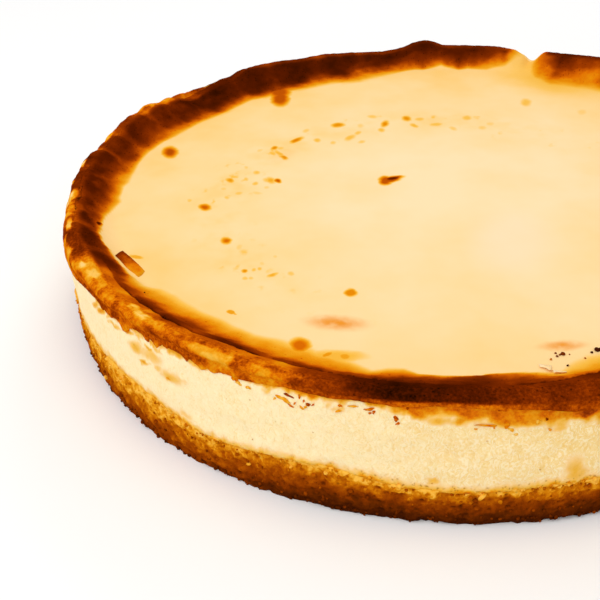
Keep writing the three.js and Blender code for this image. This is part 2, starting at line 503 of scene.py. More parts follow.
# Uneven browning: wide patches, small patches and a fine grain, which leave the pale custard clean
def buildMottle(place, bake, patches, grain):
    wide = minus(noiseAt(place, 10, 2.0, 0.6), 0.5)
    small = minus(noiseAt(place, 3.4, 2.0, 0.55, 0.4), 0.5)
    fine = minus(noiseAt(place, 0.8, 2.0, 0.6), 0.5)
    change = plus(times(plus(times(wide, 1.3), times(small, 0.6)), patches), times(fine, grain))
    return {"Bake": maths("ADD", bake, times(change, fade(bake, 0.08, 0.5)), clamp=True)}


# Places nudged by a soft noise, so that marks have natural outlines
def buildWobble(place, density, amount):
    nudge = addNode("TexNoise", {"Vector": place, "Scale": density, "Detail": 2.0}).outputs["Color"]
    centred = vectors("SUBTRACT", nudge, (0.5, 0.5, 0.5))
    scaled = addNode("VectorMath", {0: centred, "Scale": amount}, operation="SCALE").outputs[0]
    return {"Place": vectors("ADD", place, scaled)}


# A soft-edged oval mark on the top, with the inverse of its half length and half breadth
def buildSpot(place, centre, turn, narrow, inside, outside):
    turned = addNode("VectorRotate", {"Vector": vectors("SUBTRACT", place, centre), "Rotation": turn},
                     rotation_type="EULER_XYZ").outputs[0]
    length = vectors("LENGTH", vectors("MULTIPLY", turned, narrow), output="Value")
    return {"Mask": fade(length, inside, outside, 1.0, 0.0)}


# Small pits left by bubbles: a mask for their colour, and their depth
def buildPores(place, spacing, share, size):
    cells = addNode("TexVoronoi", {"Vector": place, "Scale": spacing}).outputs
    kept = maths("LESS_THAN", addNode("SeparateColor", {0: cells["Color"]}).outputs[0], share)
    mask = times(fade(cells["Distance"], 0.0, size, 1.0, 0.0), kept)
    return {"Mask": mask, "Height": times(mask, -1.0)}


# Packed grains: a random value for each, and their rounded height
def buildGrains(place, spacing):
    cells = addNode("TexVoronoi", {"Vector": place, "Scale": spacing}).outputs
    value = minus(addNode("SeparateColor", {0: cells["Color"]}).outputs[0], 0.5)
    return {"Value": value, "Height": fade(cells["Distance"], 0.1, 0.75, 1.0, 0.0)}


nowhere = (0.0, 0.0, 0.0)
caramel = makeGroup("caramel", buildCaramel, Bake=0.0)
mottle = makeGroup("mottle", buildMottle, Place=nowhere, Bake=0.0, Patches=0.2, Grain=0.1)
wobble = makeGroup("wobble", buildWobble, Place=nowhere, Density=450.0, Amount=0.0012)
ovalSpot = makeGroup("spot", buildSpot, Place=nowhere, Centre=nowhere, Turn=nowhere, Narrow=nowhere,
                     Inside=0.7, Outside=1.3)
pores = makeGroup("pores", buildPores, Place=nowhere, Spacing=300.0, Share=0.3, Size=0.2)
packedGrains = makeGroup("grains", buildGrains, Place=nowhere, Spacing=700.0)


def startMaterial(name):
    material = bpy.data.materials.new(name)
    material.use_nodes = True
    tree = material.node_tree
    return material, tree, addNode("TexCoord", {}, tree).outputs["Object"]


def attributeOf(tree, name):
    return addNode("Attribute", {}, tree, attribute_name=name).outputs["Fac"]


# Colour, relief of the given depth in mm, and a finish with next to no gloss, which keeps browned skin deep
def finishMaterial(material, colour, roughness, height, strength, depth, specular=0.0, subsurface=0.0):
    bump = addNode("Bump", {"Height": height, "Strength": strength, "Distance": depth * mm})
    feed(material.node_tree.nodes["Principled BSDF"], {
        "Base Color": colour, "Roughness": roughness, "Normal": bump.outputs["Normal"],
        "Specular IOR Level": specular, "Specular Tint": screenColour("ff9838"),
        "Subsurface Weight": subsurface, "Subsurface Radius": (1.0, 0.55, 0.25), "Subsurface Scale": 0.002})
    return material


# Browned marks on the top, in mm: x, y, half length, half breadth, turn in degrees, bake, softness
topMarks = [
    # where bubbles burst, and one small hole painted dark as shade
    (-19.4, -1.5, 3.5, 2.2, -86, 0.56, 0.55), (-17.4, -0.7, 3.4, 2.2, 37, 0.57, 0.55),
    (-16.9, 0.4, 3.2, 1.4, 24, 0.78, 0.8), (-14.8, 1.8, 1.4, 0.8, 30, 0.5, 0.8),
    (-79, -24.9, 2.4, 1.8, -50, 0.53, 0.85), (-67.1, -47.2, 2.2, 1.6, -72, 0.5, 0.85),
    (-24.6, -75.7, 2.2, 1.9, -73, 0.42, 0.45), (-102.3, 19.1, 5.2, 2.8, -72, 0.58, 0.75),
    (-68.5, 74.4, 8.4, 3.8, -80, 0.56, 0.6), (-70, 82, 8, 4.8, -78, 0.56, 0.6),
    (-35.7, -102.8, 3.3, 2.9, -75, 0.5, 0.6), (-26.6, -107, 9.4, 3, 6, 0.26, 0.6),
    # painted shade: the dark mark at -109.8, -43.9 sits in a small hole where two flaps of skin meet
    (-57.3, -88.4, 1.3, 0.9, -38, 0.34, 0.4), (-109.8, -43.9, 1.6, 0.9, -70, 0.84, 0.8),
    (-56, -89.3, 0.9, 0.3, -38, 0.3, 0.5), (-28, -106.2, 1.8, 1, 46, 0.38, 0.6),
    (-23.2, -106.7, 1.9, 1.3, -22, 0.34, 0.6), (-93.3, -59.4, 2.9, 1.1, -19, 0.3, 0.6),
    # the strongest of the broken belt of specks
    (-57.3, -3.2, 1.7, 1, -62, 0.54, 0.85), (-59.8, -3, 2.6, 1.6, -62, 0.3, 0.85),
    (-62.9, 24.3, 1.9, 1.3, 90, 0.42, 0.85), (-58, 16, 2.4, 1.2, -57, 0.42, 0.85),
    (-60.5, 19.6, 3.6, 1.1, -57, 0.27, 0.85), (-55.6, 31.7, 3.4, 1.5, 61, 0.45, 0.85),
    (-41.2, 46.6, 2.6, 2.2, 37, 0.4, 0.85), (-22.7, 48.5, 3, 1.4, 84, 0.42, 0.85),
    (-14.5, 54.2, 2.6, 1.7, -87, 0.41, 0.85), (-57.7, -65.7, 1.2, 0.8, -74, 0.4, 0.85),
    (-74.5, -4, 2.2, 1.3, -64, 0.36, 0.85), (-48.8, -67.6, 1.8, 1, 42, 0.3, 0.85),
]

# Fainter specks of the belt: x, y, half length, half breadth, turn, strength
faintMarks = [
    (-74.5, -4, 2.4, 1.3, -64, 0.73), (-68.8, -2.8, 1.6, 0.9, -76, 0.47), (-66.1, 3, 1.8, 1.2, -75, 0.55),
    (-65, -6.1, 1.5, 1.1, -89, 0.55), (-60.9, -2.8, 2, 1.8, -13, 0.52), (-69.2, -13.7, 1.7, 1.4, 56, 0.44),
    (-72.9, -17.3, 1.5, 1.1, -68, 0.44), (-75.5, -10.8, 1.6, 1.3, -56, 0.31), (-70.7, 6.8, 1.6, 1, -75, 0.31),
    (-63.1, -13, 2.5, 1.3, -13, 0.26), (-60.6, 24.2, 1.8, 1.5, 57, 0.44), (-62.8, 19.5, 2.3, 1.1, -58, 0.6),
    (-52.9, 41, 2.3, 1.4, 86, 0.36), (-47.5, 32.1, 2.1, 1.3, -81, 0.6), (-41.2, 29.9, 1.8, 1.1, -82, 0.39),
    (-35.2, 34.8, 3.2, 1.8, 65, 0.6), (-32.6, 39.2, 2.3, 1.3, 79, 0.52), (-30.4, 31.1, 1.7, 1.2, 55, 0.39),
    (-32.1, 46.1, 2.5, 1.5, -84, 0.26), (-28.1, 55.5, 2.4, 1.8, -26, 0.42), (-23.8, 42.6, 2.1, 1.2, 88, 0.6),
    (-60.5, -8.7, 1.3, 1.1, -65, 0.26), (-68.1, 21.8, 1.6, 1.2, 86, 0.26), (-9.5, 53.8, 2, 1.9, 1, 0.52),
    (-11.3, 47.5, 2.5, 1.3, -60, 0.68), (-2.8, 48.9, 2.9, 1.9, 22, 0.55), (3.8, 45.3, 2.4, 1.3, -59, 0.34),
    (9.1, 56.1, 2.7, 2, 88, 0.55), (14.9, 46.5, 2.4, 1.8, 86, 0.31), (18, 50.3, 2.2, 1.8, 84, 0.26),
    (32.9, 73.4, 4.5, 2.2, 86, 0.55), (54.1, 63.6, 3.9, 2.3, 80, 0.26), (-85.4, -20.2, 1.5, 1, -70, 0.44),
    (-54.9, -65, 1.1, 0.8, -74, 0.55), (-53.2, -64.3, 1.1, 0.7, -76, 0.6), (-56.6, -70, 1.2, 0.9, -71, 0.47),
    (-54.9, -69.8, 1.1, 0.8, -74, 0.39), (-48.8, -67.6, 1.7, 1.1, 42, 0.6),
    (-43.3, -66.5, 1.3, 1.1, -68, 0.42), (-49.7, -56.6, 1.2, 0.9, -75, 0.26),
    (-53.2, -61, 1.3, 0.9, -75, 0.26), (-62, -51.3, 2.2, 1.3, -75, 0.26),
]

# Soft blushes where the top is hardly browned: x, y, half length, half breadth, turn, strength
blushes = [(-27.1, -91.3, 6.4, 2.6, -2, 1), (33.3, -97.4, 4.6, 1.7, 12, 0.95), (-58, 18, 6, 3, 60, 0.12)]

# Wide faint tones: the belt of faint specks, and a painted sheen, a paler patch painted where a soft
# reflection falls
topTones = {
    "beltCentre": (-4, -18), "beltRadius": 70.0, "beltHalfBreadth": 15.0, "beltTowards": (-0.72, 0.69),
    "paintedSheen": (22.5, -41.9, 17, 11, 83), "paintedSheenColour": "f5dab8", "blush": "e6902c",
}


def ovalMask(place, x, y, halfLength, halfBreadth, turn, softness):
    return ovalSpot(Place=place, Centre=(x * mm, y * mm, 0), Turn=(0, 0, -math.radians(turn)),
                    Narrow=(1 / (halfLength * mm), 1 / (halfBreadth * mm), 0.0),
                    Inside=1 - softness, Outside=1 + softness)["Mask"]


# The belt of specks as a mask: a ring, strongest at the back left
def beltMask(place):
    x, y = topTones["beltCentre"]
    flat = vectors("MULTIPLY", vectors("SUBTRACT", place, (x * mm, y * mm, 0)), (1000.0, 1000.0, 0.0))
    away = maths("ABSOLUTE", minus(vectors("LENGTH", flat, output="Value"), topTones["beltRadius"]))
    towards = vectors("DOT_PRODUCT", flat, (*topTones["beltTowards"], 0.0), "Value")
    return times(fade(away, 2.0, topTones["beltHalfBreadth"], 1.0, 0.0), fade(towards, -60.0, 40.0))


def makeTopMaterial():
    material, tree, place = startMaterial("bakedTop")
    bake = attributeOf(tree, "bake")
    crust = attributeOf(tree, "crust")
    browned = fade(bake, 0.15, 0.55)
    mottled = mottle(Place=place, Bake=bake, Patches=0.13, Grain=fade(crust, 0.0, 1.0, 0.03, 0.32))["Bake"]
    pits = pores(Place=place, Spacing=900.0, Share=0.3, Size=0.35)
    mottled = plus(mottled, times(pits["Mask"], browned, 0.13))
    flat = vectors("MULTIPLY", place, (1.0, 1.0, 0.0))
    bent = vectors("MULTIPLY", wobble(Place=flat, Density=300.0, Amount=0.005)["Place"], (1.0, 0.6, 1.0))
    faint = pores(Place=bent, Spacing=230.0, Share=0.5, Size=0.36)["Mask"]
    cloud = fade(noiseAt(place, 11, 2.0, 0.6), 0.35, 0.7)
    wide = times(minus(noiseAt(place, 28, 3.0, 0.55), 0.42), 0.16)
    tinge = plus(wide, times(beltMask(place), plus(times(faint, 0.13), times(cloud, 0.05))))
    mottled = maths("ADD", mottled, times(tinge, fade(bake, 0.3, 0.15)), clamp=True)
    wobbled = wobble(Place=place, Density=330.0, Amount=0.0014)["Place"]
    for *oval, depth, softness in topMarks:
        mottled = maths("MAXIMUM", mottled, times(ovalMask(wobbled, *oval, softness), depth))
    for *oval, strength in faintMarks:
        mottled = maths("MAXIMUM", mottled, times(ovalMask(wobbled, *oval, 0.8), 0.08 + 0.27 * strength))
    tones = caramel(Bake=mottled)
    colour = tones["Colour"]
    uneven = fade(noiseAt(place, 3.4, 2.0, 0.5), 0.2, 0.6, 0.5, 1.0)
    for *oval, strength in blushes:
        share = maths("MULTIPLY", times(ovalMask(wobbled, *oval, 0.85), strength), uneven, clamp=True)
        colour = mixColour(share, colour, topTones["blush"])
    # painted highlight: the top is paled where a soft reflection of the light behind would fall
    paintedSheen = times(ovalMask(place, *topTones["paintedSheen"], 0.6), 0.5)
    colour = mixColour(paintedSheen, colour, topTones["paintedSheenColour"])
    wrinkles = times(noiseAt(place, 0.9, 3.0, 0.6), fade(bake, 0.1, 0.6, 0.1, 1.0))
    creases = times(noiseAt(vectors("MULTIPLY", place, (1.0, 1.0, 2.2)), 2.4, 3.0, 0.6, 1.5), crust)
    relief = plus(wrinkles, times(creases, 2.0), times(pits["Height"], browned, 0.5))
    return finishMaterial(material, colour, tones["Dull"], relief, 0.75, 0.36)


# The pale side: cream on the left, yellower and darker to the right, partly painted shade, with pores and a
# fine curd
def makeSideMaterial():
    material, tree, place = startMaterial("creamSide")
    mottled = mottle(Place=place, Bake=attributeOf(tree, "stain"), Patches=0.5, Grain=0.25)["Bake"]
    bend = wobble(Place=place, Density=300.0, Amount=0.003)["Place"]
    curds = noiseAt(vectors("MULTIPLY", bend, (1.0, 1.0, 0.6)), 1.2, 3.0, 0.62, 1.8)
    holes = pores(Place=place, Spacing=300.0, Share=0.2, Size=0.12)
    specks = pores(Place=bend, Spacing=560.0, Share=0.14, Size=0.22)["Mask"]
    pits = pores(Place=bend, Spacing=1000.0, Share=0.7, Size=0.5)["Mask"]
    clouds = fade(noiseAt(place, 8, 3.0, 0.6), 0.4, 0.75)
    yellowAndShade = maths("ADD", attributeOf(tree, "yellowAndShade"), times(clouds, 0.25), clamp=True)
    footPits = times(pits, times(attributeOf(tree, "foot"), fade(yellowAndShade, 0.1, 0.5, 0.1, 1.0)))
    # painted shade: the side darkens and yellows towards the right, away from the key light, on top of its
    # own deeper yellow
    colour = mixColour(yellowAndShade, "fae6b6", "f3cf84")
    for share, tone in [
            (times(fade(curds, 0.46, 0.64), fade(yellowAndShade, 0.0, 0.8, 0.38, 0.65)), "fdeecb"),
            (times(fade(curds, 0.46, 0.32), fade(yellowAndShade, 0.0, 0.8, 0.27, 0.55)), "ecc06a"),
            (fade(mottled, 0.0, 0.14), caramel(Bake=mottled)["Colour"]),
            (times(specks, 0.5), "f0b84a"), (times(holes["Mask"], 0.85), "cf8a24"),
            (times(footPits, 0.85), "a4660a")]:
        colour = mixColour(share, colour, tone)
    relief = minus(plus(curds, holes["Height"]), times(footPits, 0.4))
    return finishMaterial(material, colour, 0.6, relief, 0.7, 0.35, specular=0.04, subsurface=0.12)


# Biscuit crumb by how high it sits in the base: dark at the foot, golden where custard soaked in
biscuitTones = [
    (0, "421a08"), (0.12, "471a02"), (0.24, "521f03"), (0.36, "5f2602"), (0.48, "752e02"), (0.6, "893a02"),
    (0.7, "9c4703"), (0.79, "b45d04"), (0.87, "cd7a0a"), (0.94, "e49a1e"), (1, "f3b644"),
]


def makeBiscuitMaterial():
    material, tree, place = startMaterial("biscuitCrumb")
    bend = wobble(Place=place, Density=700.0, Amount=0.0012)["Place"]
    big = packedGrains(Place=bend, Spacing=480.0)
    small = packedGrains(Place=bend, Spacing=1250.0)
    wide = minus(noiseAt(place, 6, 2.0, 0.6), 0.5)
    change = plus(times(wide, 0.4), plus(times(big["Value"], 0.06), times(small["Value"], 0.1)))
    level = maths("ADD", plus(attributeOf(tree, "level"), change), attributeOf(tree, "tone"), clamp=True)
    holes = pores(Place=place, Spacing=420.0, Share=0.2, Size=0.26)
    colour = mixColour(times(holes["Mask"], 0.5), toneRamp(level, biscuitTones), "3a1503")
    packed = plus(times(big["Height"], 0.7), times(small["Height"], 0.35))
    return finishMaterial(material, colour, 0.75, plus(packed, holes["Height"]), 0.7, 0.36)


# Scraps of browned skin, whose bake is in the mesh
def makeScrapMaterial():
    material, tree, place = startMaterial("brownedScraps")
    mottled = mottle(Place=place, Bake=attributeOf(tree, "bake"), Patches=0.2, Grain=0.15)["Bake"]
    tones = caramel(Bake=mottled)
    return finishMaterial(material, tones["Colour"], tones["Dull"], noiseAt(place, 0.6, 3.0, 0.6), 0.6, 0.2)


topMaterial = makeTopMaterial()
sideMaterial = makeSideMaterial()
biscuitMaterial = makeBiscuitMaterial()
scrapMaterial = makeScrapMaterial()
print("materials")


# The biscuit base

biscuit = {
    "segments": 1400,
    "rowSpacing": 0.44,
    "edgeRadius": 127.0,      # where the top starts to fall towards the middle
    "innerRadius": 112.0,
    "tuck": 0.7,              # mm that the base reaches up into the filling, so that no gap shows
    "relief": (23, 0.5, 200, 2.2),
    # how much more golden the base is at the foot of its left side
    "brightLeft": {
        -170: 0.4, -150: 0.52, -140: 0.58, -130: 0.52, -120: 0.5, -112: 0.34, -104: 0.1, -96: -0.04,
        -88: 0.06, -74: 0.02, -68: -0.06, 60: 0,
    },
}


def makeBiscuitBase():
    side = cake["footRadius"]
    height = cake["baseHeight"]
    rows = int(height / biscuit["rowSpacing"])
    bottom = [(radius, 0) for radius in (0, 70, 110, 122, 126, 127.4)]
    section = bottom + [(side, height * row / rows) for row in range(rows + 1)]
    section += [(radius, height) for radius in (126, 121, 112, 60, 0)]
    piece = turnSection("biscuitBase", section, biscuit["segments"])
    places = readPlaces(piece)
    row = rowsOf(places, section) - len(bottom)
    azimuth = azimuthOf(places)
    radius = radiusOf(places)
    level = np.clip(row / rows, 0, 1)
    top = baseTopAt(azimuth)
    onSide = (row >= 0) & (row <= rows)
    relief = makeRelief(*biscuit["relief"])
    bulge = (cake["wallRadius"] - side) * np.sin(np.pi / 2 * np.minimum(1, 2 * level))
    newRadius = np.where(onSide, side + bulge + relief(azimuth, level * height), radius)
    inside = cake["baseHeightInside"]
    rise = smoothStep(radius, biscuit["innerRadius"], biscuit["edgeRadius"]) * (top - inside)
    newHeight = np.where(row > rows, inside + rise, level * top)
    newHeight += biscuit["tuck"] * smoothStep(level, 0.8, 1.0) * (row > 0)
    places = movedPlaces(places, radius, newRadius, newHeight)
    writePlaces(piece, places)
    coarse = lumpsAt(places, 2.6, 3)
    large = grainsAt(places, 2.0)
    fine = grainsAt(places + 50, 1.1)
    pits = np.clip(lumpsAt(places, 1.5, 2, 90.0) - 0.32, 0, 1)
    left = roundTheCake(azimuth, biscuit["brightLeft"])
    calm = 1 - 1.2 * np.clip(left, 0, 0.6)
    push = (0.3 * coarse + (0.34 * large + 0.2 * fine - 1.2 * pits) * calm) * onSide
    places += readNormals(piece) * push[:, None]
    places[:, 2] = np.maximum(places[:, 2], 0)
    writePlaces(piece, places)
    writeAttribute(piece, "level", level)
    writeAttribute(piece, "tone", 0.1 * coarse + (0.08 * large - 0.5 * pits) * calm + left * (1 - level))
    cover(piece, biscuitMaterial)
    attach(piece, "root")
    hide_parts("biscuit_base")
    return piece


# The pale side of the filling

wall = {
    "rowSpacing": 0.43,
    "floorHeight": 14.3,          # its hidden underside and top
    "ceilingHeight": 35.2,
    "underLip": 0.6,
    "underCrest": 1.8,
    "inset": 0.25,                # how far it draws in below the lip
    "relief": (21, 0.3, 96, 5),
    "curdDepths": (0.14, 0.1),    # of broad and of fine unevenness
    "stainSoftness": 0.9,
    # how far down browning runs below the lip, by azimuth, in mm, and how dark it is
    "stainDepth": {
        -180: 0.9, -150: 0.8, -141: 1.4, -134: 2.4, -126: 2.6, -118: 2.4, -110: 1.8, -102: 2.8, -96: 2.2,
        -93: 3.8, -88: 6.2, -84: 7, -80: 7, -76: 6.2, -72: 5.8, -68: 4.8, -60: 2.6, -40: 2, -10: 3, 20: 1.5,
        50: 2.6, 90: 1.2, 130: 1.8, 160: 1,
    },
    "stainBake": {
        -180: 0.34, -140: 0.34, -120: 0.32, -104: 0.38, -95: 0.42, -88: 0.48, -80: 0.48, -76: 0.5, -70: 0.5,
        -64: 0.42, -40: 0.36, 0: 0.4, 60: 0.34, 120: 0.38,
    },
    # how much yellower and darker the side is, by azimuth: partly its own tone, partly painted shade away
    # from the key light
    "yellowAndShade": {
        -170: 0.1, -140: 0.12, -110: 0.1, -98: 0.25, -90: 0.5, -80: 0.65, -70: 0.8, -50: 0.5, 0: 0.4, 60: 0.5,
        130: 0.3,
    },
    "footSoftness": {-160: -0.2, -125: 0, -110: 0.5, -95: -0.2, -70: -0.3, -50: 0.5, 150: 0.5},
    # soft stains: azimuth, height, half length, half breadth, turn, bake
    "stains": [
        (-129.5, 31.2, 3.4, 1.7, 18, 0.27), (-126.6, 31.1, 4.6, 2.2, 12, 0.2),
        (-122.9, 28.1, 3.7, 2.1, 8, 0.24), (-125.1, 28.8, 1.8, 0.9, 26, 0.2), (-108.4, 37, 2.7, 1, 51, 0.24),
        (-101.3, 36.2, 1.2, 0.9, 53, 0.18), (-100.1, 35.3, 1.7, 1, 21, 0.2), (-89.1, 35.6, 2.5, 1.4, 9, 0.28),
        (-86.6, 36.6, 1.7, 1.6, -11, 0.28), (-73.9, 17.1, 4.7, 2.7, -71, 0.22),
        (-89.7, 15.5, 1.8, 1.2, -90, 0.24), (-121.4, 16.4, 2.9, 1.2, -3, 0.16),
        (-140, 33.6, 2.5, 0.8, 28, 0.34), (-138.2, 33.7, 2.8, 0.8, 25, 0.38), (-135.7, 35, 1.8, 0.7, 39, 0.4),
        (-133.7, 36.2, 5.3, 0.8, 5, 0.36), (-134.7, 32.8, 3.2, 0.6, 4, 0.3),
        (-130.7, 34.8, 1.6, 0.6, 22, 0.4), (-128.5, 27, 1.6, 0.7, 7, 0.36), (-125.7, 36, 2.4, 0.8, -27, 0.36),
        (-126.9, 33.4, 1.7, 0.6, -36, 0.32), (-128.8, 35.1, 1.6, 0.7, -30, 0.32),
        (-122.2, 37.8, 1.6, 0.8, 61, 0.34), (-123.5, 27.1, 1.2, 0.7, 9, 0.42),
        (-118.5, 36.4, 1.8, 0.7, -30, 0.3), (-60, 30, 5, 2, 12, 0.2), (-20, 26, 4, 2, -10, 0.2),
        (30, 30, 6, 2, 20, 0.22), (100, 24, 4, 2.4, 10, 0.2),
    ],
}


# How near a place on the side is to an oval mark: 1 within it, 0 outside
def ovalShare(across, up, halfLength, halfBreadth, turn, softness):
    angle = math.radians(turn)
    along = (across * math.cos(angle) + up * math.sin(angle)) / halfLength
    over = (up * math.cos(angle) - across * math.sin(angle)) / halfBreadth
    return 1 - smoothStep(np.hypot(along, over), 1 - softness, 1 + softness)


def makeFillingWall():
    radius0 = cake["wallRadius"]
    floor = wall["floorHeight"]
    ceiling = wall["ceilingHeight"]
    rows = int((cake["lipHeight"] - cake["baseHeight"]) / wall["rowSpacing"])
    bottom = [(0, floor), (80, floor), (114, floor), (121, 14.6), (126, 14.8), (128.4, 15.0)]
    side = [(radius0, blend(cake["baseHeight"], cake["lipHeight"], row / rows)) for row in range(rows + 1)]
    section = bottom + side + [(128.3, 38.9), (126, 38), (120, ceiling), (60, ceiling), (0, ceiling)]
    piece = turnSection("fillingWall", section, cake["segments"])
    places = readPlaces(piece)
    azimuth = azimuthOf(places)
    radius = radiusOf(places)
    level = (rowsOf(places, section) - len(bottom)) / rows
    onSide = (level >= 0) & (level <= 1)
    low = baseTopAt(azimuth)
    high = lipAt(azimuth) + roundTheCake(azimuth, lipDrop)
    height = np.where(onSide, blend(low + 0.3, high, level), places[:, 2])
    height = np.where(level < 0, floor + smoothStep(radius, 112, 128.4) * (low + 0.1 - floor), height)
    height = np.where((level > 1) & (radius > 127), high + wall["underLip"], height)
    height = np.where(level > 1, np.minimum(height, crestAt(azimuth) - wall["underCrest"]), height)
    relief = makeRelief(*wall["relief"])(azimuth, height)
    inset = wall["inset"] * smoothStep(level, 0.85, 1.0)
    newRadius = np.where(onSide, radius + relief - inset, radius)
    places = movedPlaces(places, radius, newRadius, height)
    writePlaces(piece, places)
    broad = lumpsAt(places * [1, 1, 0.6], 7, 3)
    curds = lumpsAt(places * [1, 1, 0.7], 1.5, 3, 30.0)
    broadDepth, curdDepth = wall["curdDepths"]
    places += readNormals(piece) * ((broadDepth * broad + curdDepth * curds) * onSide)[:, None]
    writePlaces(piece, places)
    belowLip = (1 - level) * (high - low)
    aboveBase = level * (high - low)
    uneven = lumpsAt(places, 5, 3, 12.0)
    torn = lumpsAt(places * [1, 1, 0.6], 1.8, 3, 44.0)
    depth = roundTheCake(azimuth, wall["stainDepth"])
    ragged = belowLip + 0.45 * depth * uneven + 0.8 * torn
    stain = roundTheCake(azimuth, wall["stainBake"]) * (1 - smoothStep(ragged, 0.3 * depth, 1.15 * depth))
    nearBase = aboveBase + 0.9 * uneven + 1.0 * torn + roundTheCake(azimuth, wall["footSoftness"])
    stain = np.maximum(stain, np.interp(nearBase, [-1, 0, 1, 2.2, 4], [0.44, 0.32, 0.18, 0.08, 0]))
    for middle, up, *oval, bake in wall["stains"]:
        across = wrapped(azimuth - middle) * math.pi / 180 * radius0 + 1.4 * torn + uneven
        mark = ovalShare(across, places[:, 2] - up + 0.9 * uneven + 0.5 * torn, *oval, wall["stainSoftness"])
        stain = np.maximum(stain, bake * mark)
    writeAttribute(piece, "stain", np.clip(stain, 0, 1) * onSide)
    writeAttribute(piece, "yellowAndShade", roundTheCake(azimuth, wall["yellowAndShade"]))
    writeAttribute(piece, "foot", 1 - smoothStep(nearBase, 0.8, 3.2))
    cover(piece, sideMaterial)
    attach(piece, "root")
    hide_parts("cheese_filling")
    return piece


# The browned rim and the smooth top, one skin from under the lip to the middle. What follows goes by azimuth

# The radius where the browning of the top ends
brownEdge = {
    -180: 110.4, -176: 110, -174: 111.6, -170: 111.5, -168: 110.8, -164: 114, -162: 115.6, -160: 116.6,
    -156: 118, -152.5: 118.6, -150: 117.6, -142: 116.2, -138: 114.7, -136: 111.3, -133: 109.8, -126: 110,
    -122: 109.1, -116: 109.7, -112: 107.5, -108: 107.5, -106: 109, -102: 109.8, -98: 112.8, -96: 111.2,
    -94: 110.9, -92: 112.7, -88: 113, -84: 112.9, -82: 111.9, -78: 112.2, -74: 113.2, -72: 109.8, -69: 107.7,
    -58: 109, -45: 111, -30: 108, -12: 112, 5: 109, 22: 112, 38: 108, 50: 106, 57: 103, 61: 101.5, 65: 101.5,
    67: 103.3, 69.5: 106, 71.2: 111, 72.5: 120, 75: 119, 77: 115, 79: 113.7, 81: 111.6, 85: 112.2, 87: 110.5,
    91: 114.4, 95: 110.5, 97: 110.9, 99: 109.7, 103: 105.9, 107: 103.3, 111: 100.6, 115: 101.5, 118: 103.5,
    122: 102.8, 127: 104.2, 135: 105.1, 138: 107.3, 146: 105.5, 150: 106, 154: 107.3, 162: 108.3, 165: 110.2,
    171: 111.6, 175: 111.7,
}

# Over how many mm the browning deepens inside that edge, and over how many it then darkens fully
edgeFeather = {
    -180: 4.3, -176: 6, -173: 3.2, -168: 5, -164: 2.6, -161: 1.4, -154: 0.9, -150: 0.8, -144: 0.7, -141: 1.5,
    -138: 5.5, -134: 8.4, -130: 8.4, -126: 5.6, -118: 5.6, -112: 9, -108: 7.5, -105: 6, -102: 6.5, -98: 4.5,
    -96: 4.4, -94: 4.3, -91: 1.8, -86: 0.9, -80: 0.7, -76: 2.4, -74: 6, -70: 10.5, -60: 6, -30: 5, 0: 4,
    30: 5, 50: 10, 58: 16, 64: 15, 68: 12.5, 70.5: 6, 72: 3, 77: 6.6, 83: 6, 88: 5, 91: 3.2, 96: 5, 99: 6,
    103: 9.6, 110: 13, 113: 9.5, 117: 11, 121: 10, 124: 6.4, 134: 6.2, 140: 5.2, 147: 4.2, 149: 6.5, 155: 5,
    161: 6.3, 166: 4, 171: 3, 175: 2.6,
}
darkening = {-160: 5, -156: 2, -142: 2, -136: 5}

# How far the inner slope, the crest and the lip are baked
slopeBake = {
    -180: 0.74, -176: 0.72, -172: 0.78, -168: 0.78, -164: 0.66, -160: 0.79, -156: 0.7, -151: 0.74, -147: 0.77,
    -144: 0.74, -138: 0.65, -132: 0.7, -127: 0.65, -123: 0.62, -116: 0.74, -113: 0.68, -110: 0.58, -107: 0.66,
    -104: 0.72, -101.8: 0.68, -99.5: 0.66, -96: 0.76, -93.5: 0.8, -89: 0.78, -84: 0.8, -81: 0.7, -78: 0.66,
    -75: 0.66, -72: 0.56, -66: 0.64, -50: 0.76, -20: 0.8, 30: 0.82, 56: 0.68, 62: 0.69, 66: 0.86, 70: 0.52,
    72: 0.26, 73: 0.12, 75.4: 0.36, 77.6: 0.84, 82: 0.83, 90: 0.87, 94: 0.86, 102: 0.86, 108: 0.81, 118: 0.85,
    126: 0.84, 134: 0.84, 142: 0.8, 147: 0.86, 154: 0.8, 158: 0.74, 162: 0.78, 170: 0.77, 176: 0.76,
}
crestBake = {
    -180: 0.74, -172: 0.68, -164: 0.68, -160: 0.48, -156: 0.64, -151: 0.66, -148: 0.66, -144.6: 0.4,
    -143: 0.34, -140: 0.44, -136: 0.47, -132: 0.5, -128: 0.48, -124: 0.54, -119: 0.56, -116: 0.54, -111: 0.53,
    -108: 0.38, -105: 0.62, -101: 0.74, -98: 0.88, -95: 0.92, -91: 0.92, -84: 0.86, -80: 0.75, -74: 0.77,
    -62: 0.77, -45: 0.78, -25: 0.82, 0: 0.78, 25: 0.84, 45: 0.8, 60: 0.8, 66: 0.86, 69: 0.82, 70.6: 0.4,
    71.8: 0.2, 73: 0.1, 75.4: 0.3, 77: 0.62, 79: 0.76, 84: 0.8, 90: 0.76, 94: 0.78, 98: 0.8, 102: 0.72,
    107: 0.68, 126: 0.7, 131: 0.7, 137: 0.84, 144: 0.68, 150: 0.6, 158: 0.54, 164: 0.62, 172: 0.68, 178: 0.62,
}
lipBake = {
    -180: 0.5, -170: 0.5, -160: 0.46, -156: 0.58, -151: 0.4, -144: 0.54, -139: 0.58, -134: 0.65, -130: 0.61,
    -124: 0.58, -120: 0.57, -116: 0.44, -112: 0.56, -108: 0.36, -104: 0.6, -101: 0.72, -97: 0.64, -91: 0.52,
    -87: 0.62, -84: 0.58, -80: 0.62, -75: 0.66, -70: 0.62, -55: 0.62, -35: 0.7, 0: 0.62, 35: 0.7, 66: 0.6,
    73: 0.3, 80: 0.6, 100: 0.7, 140: 0.62, 160: 0.5,
}

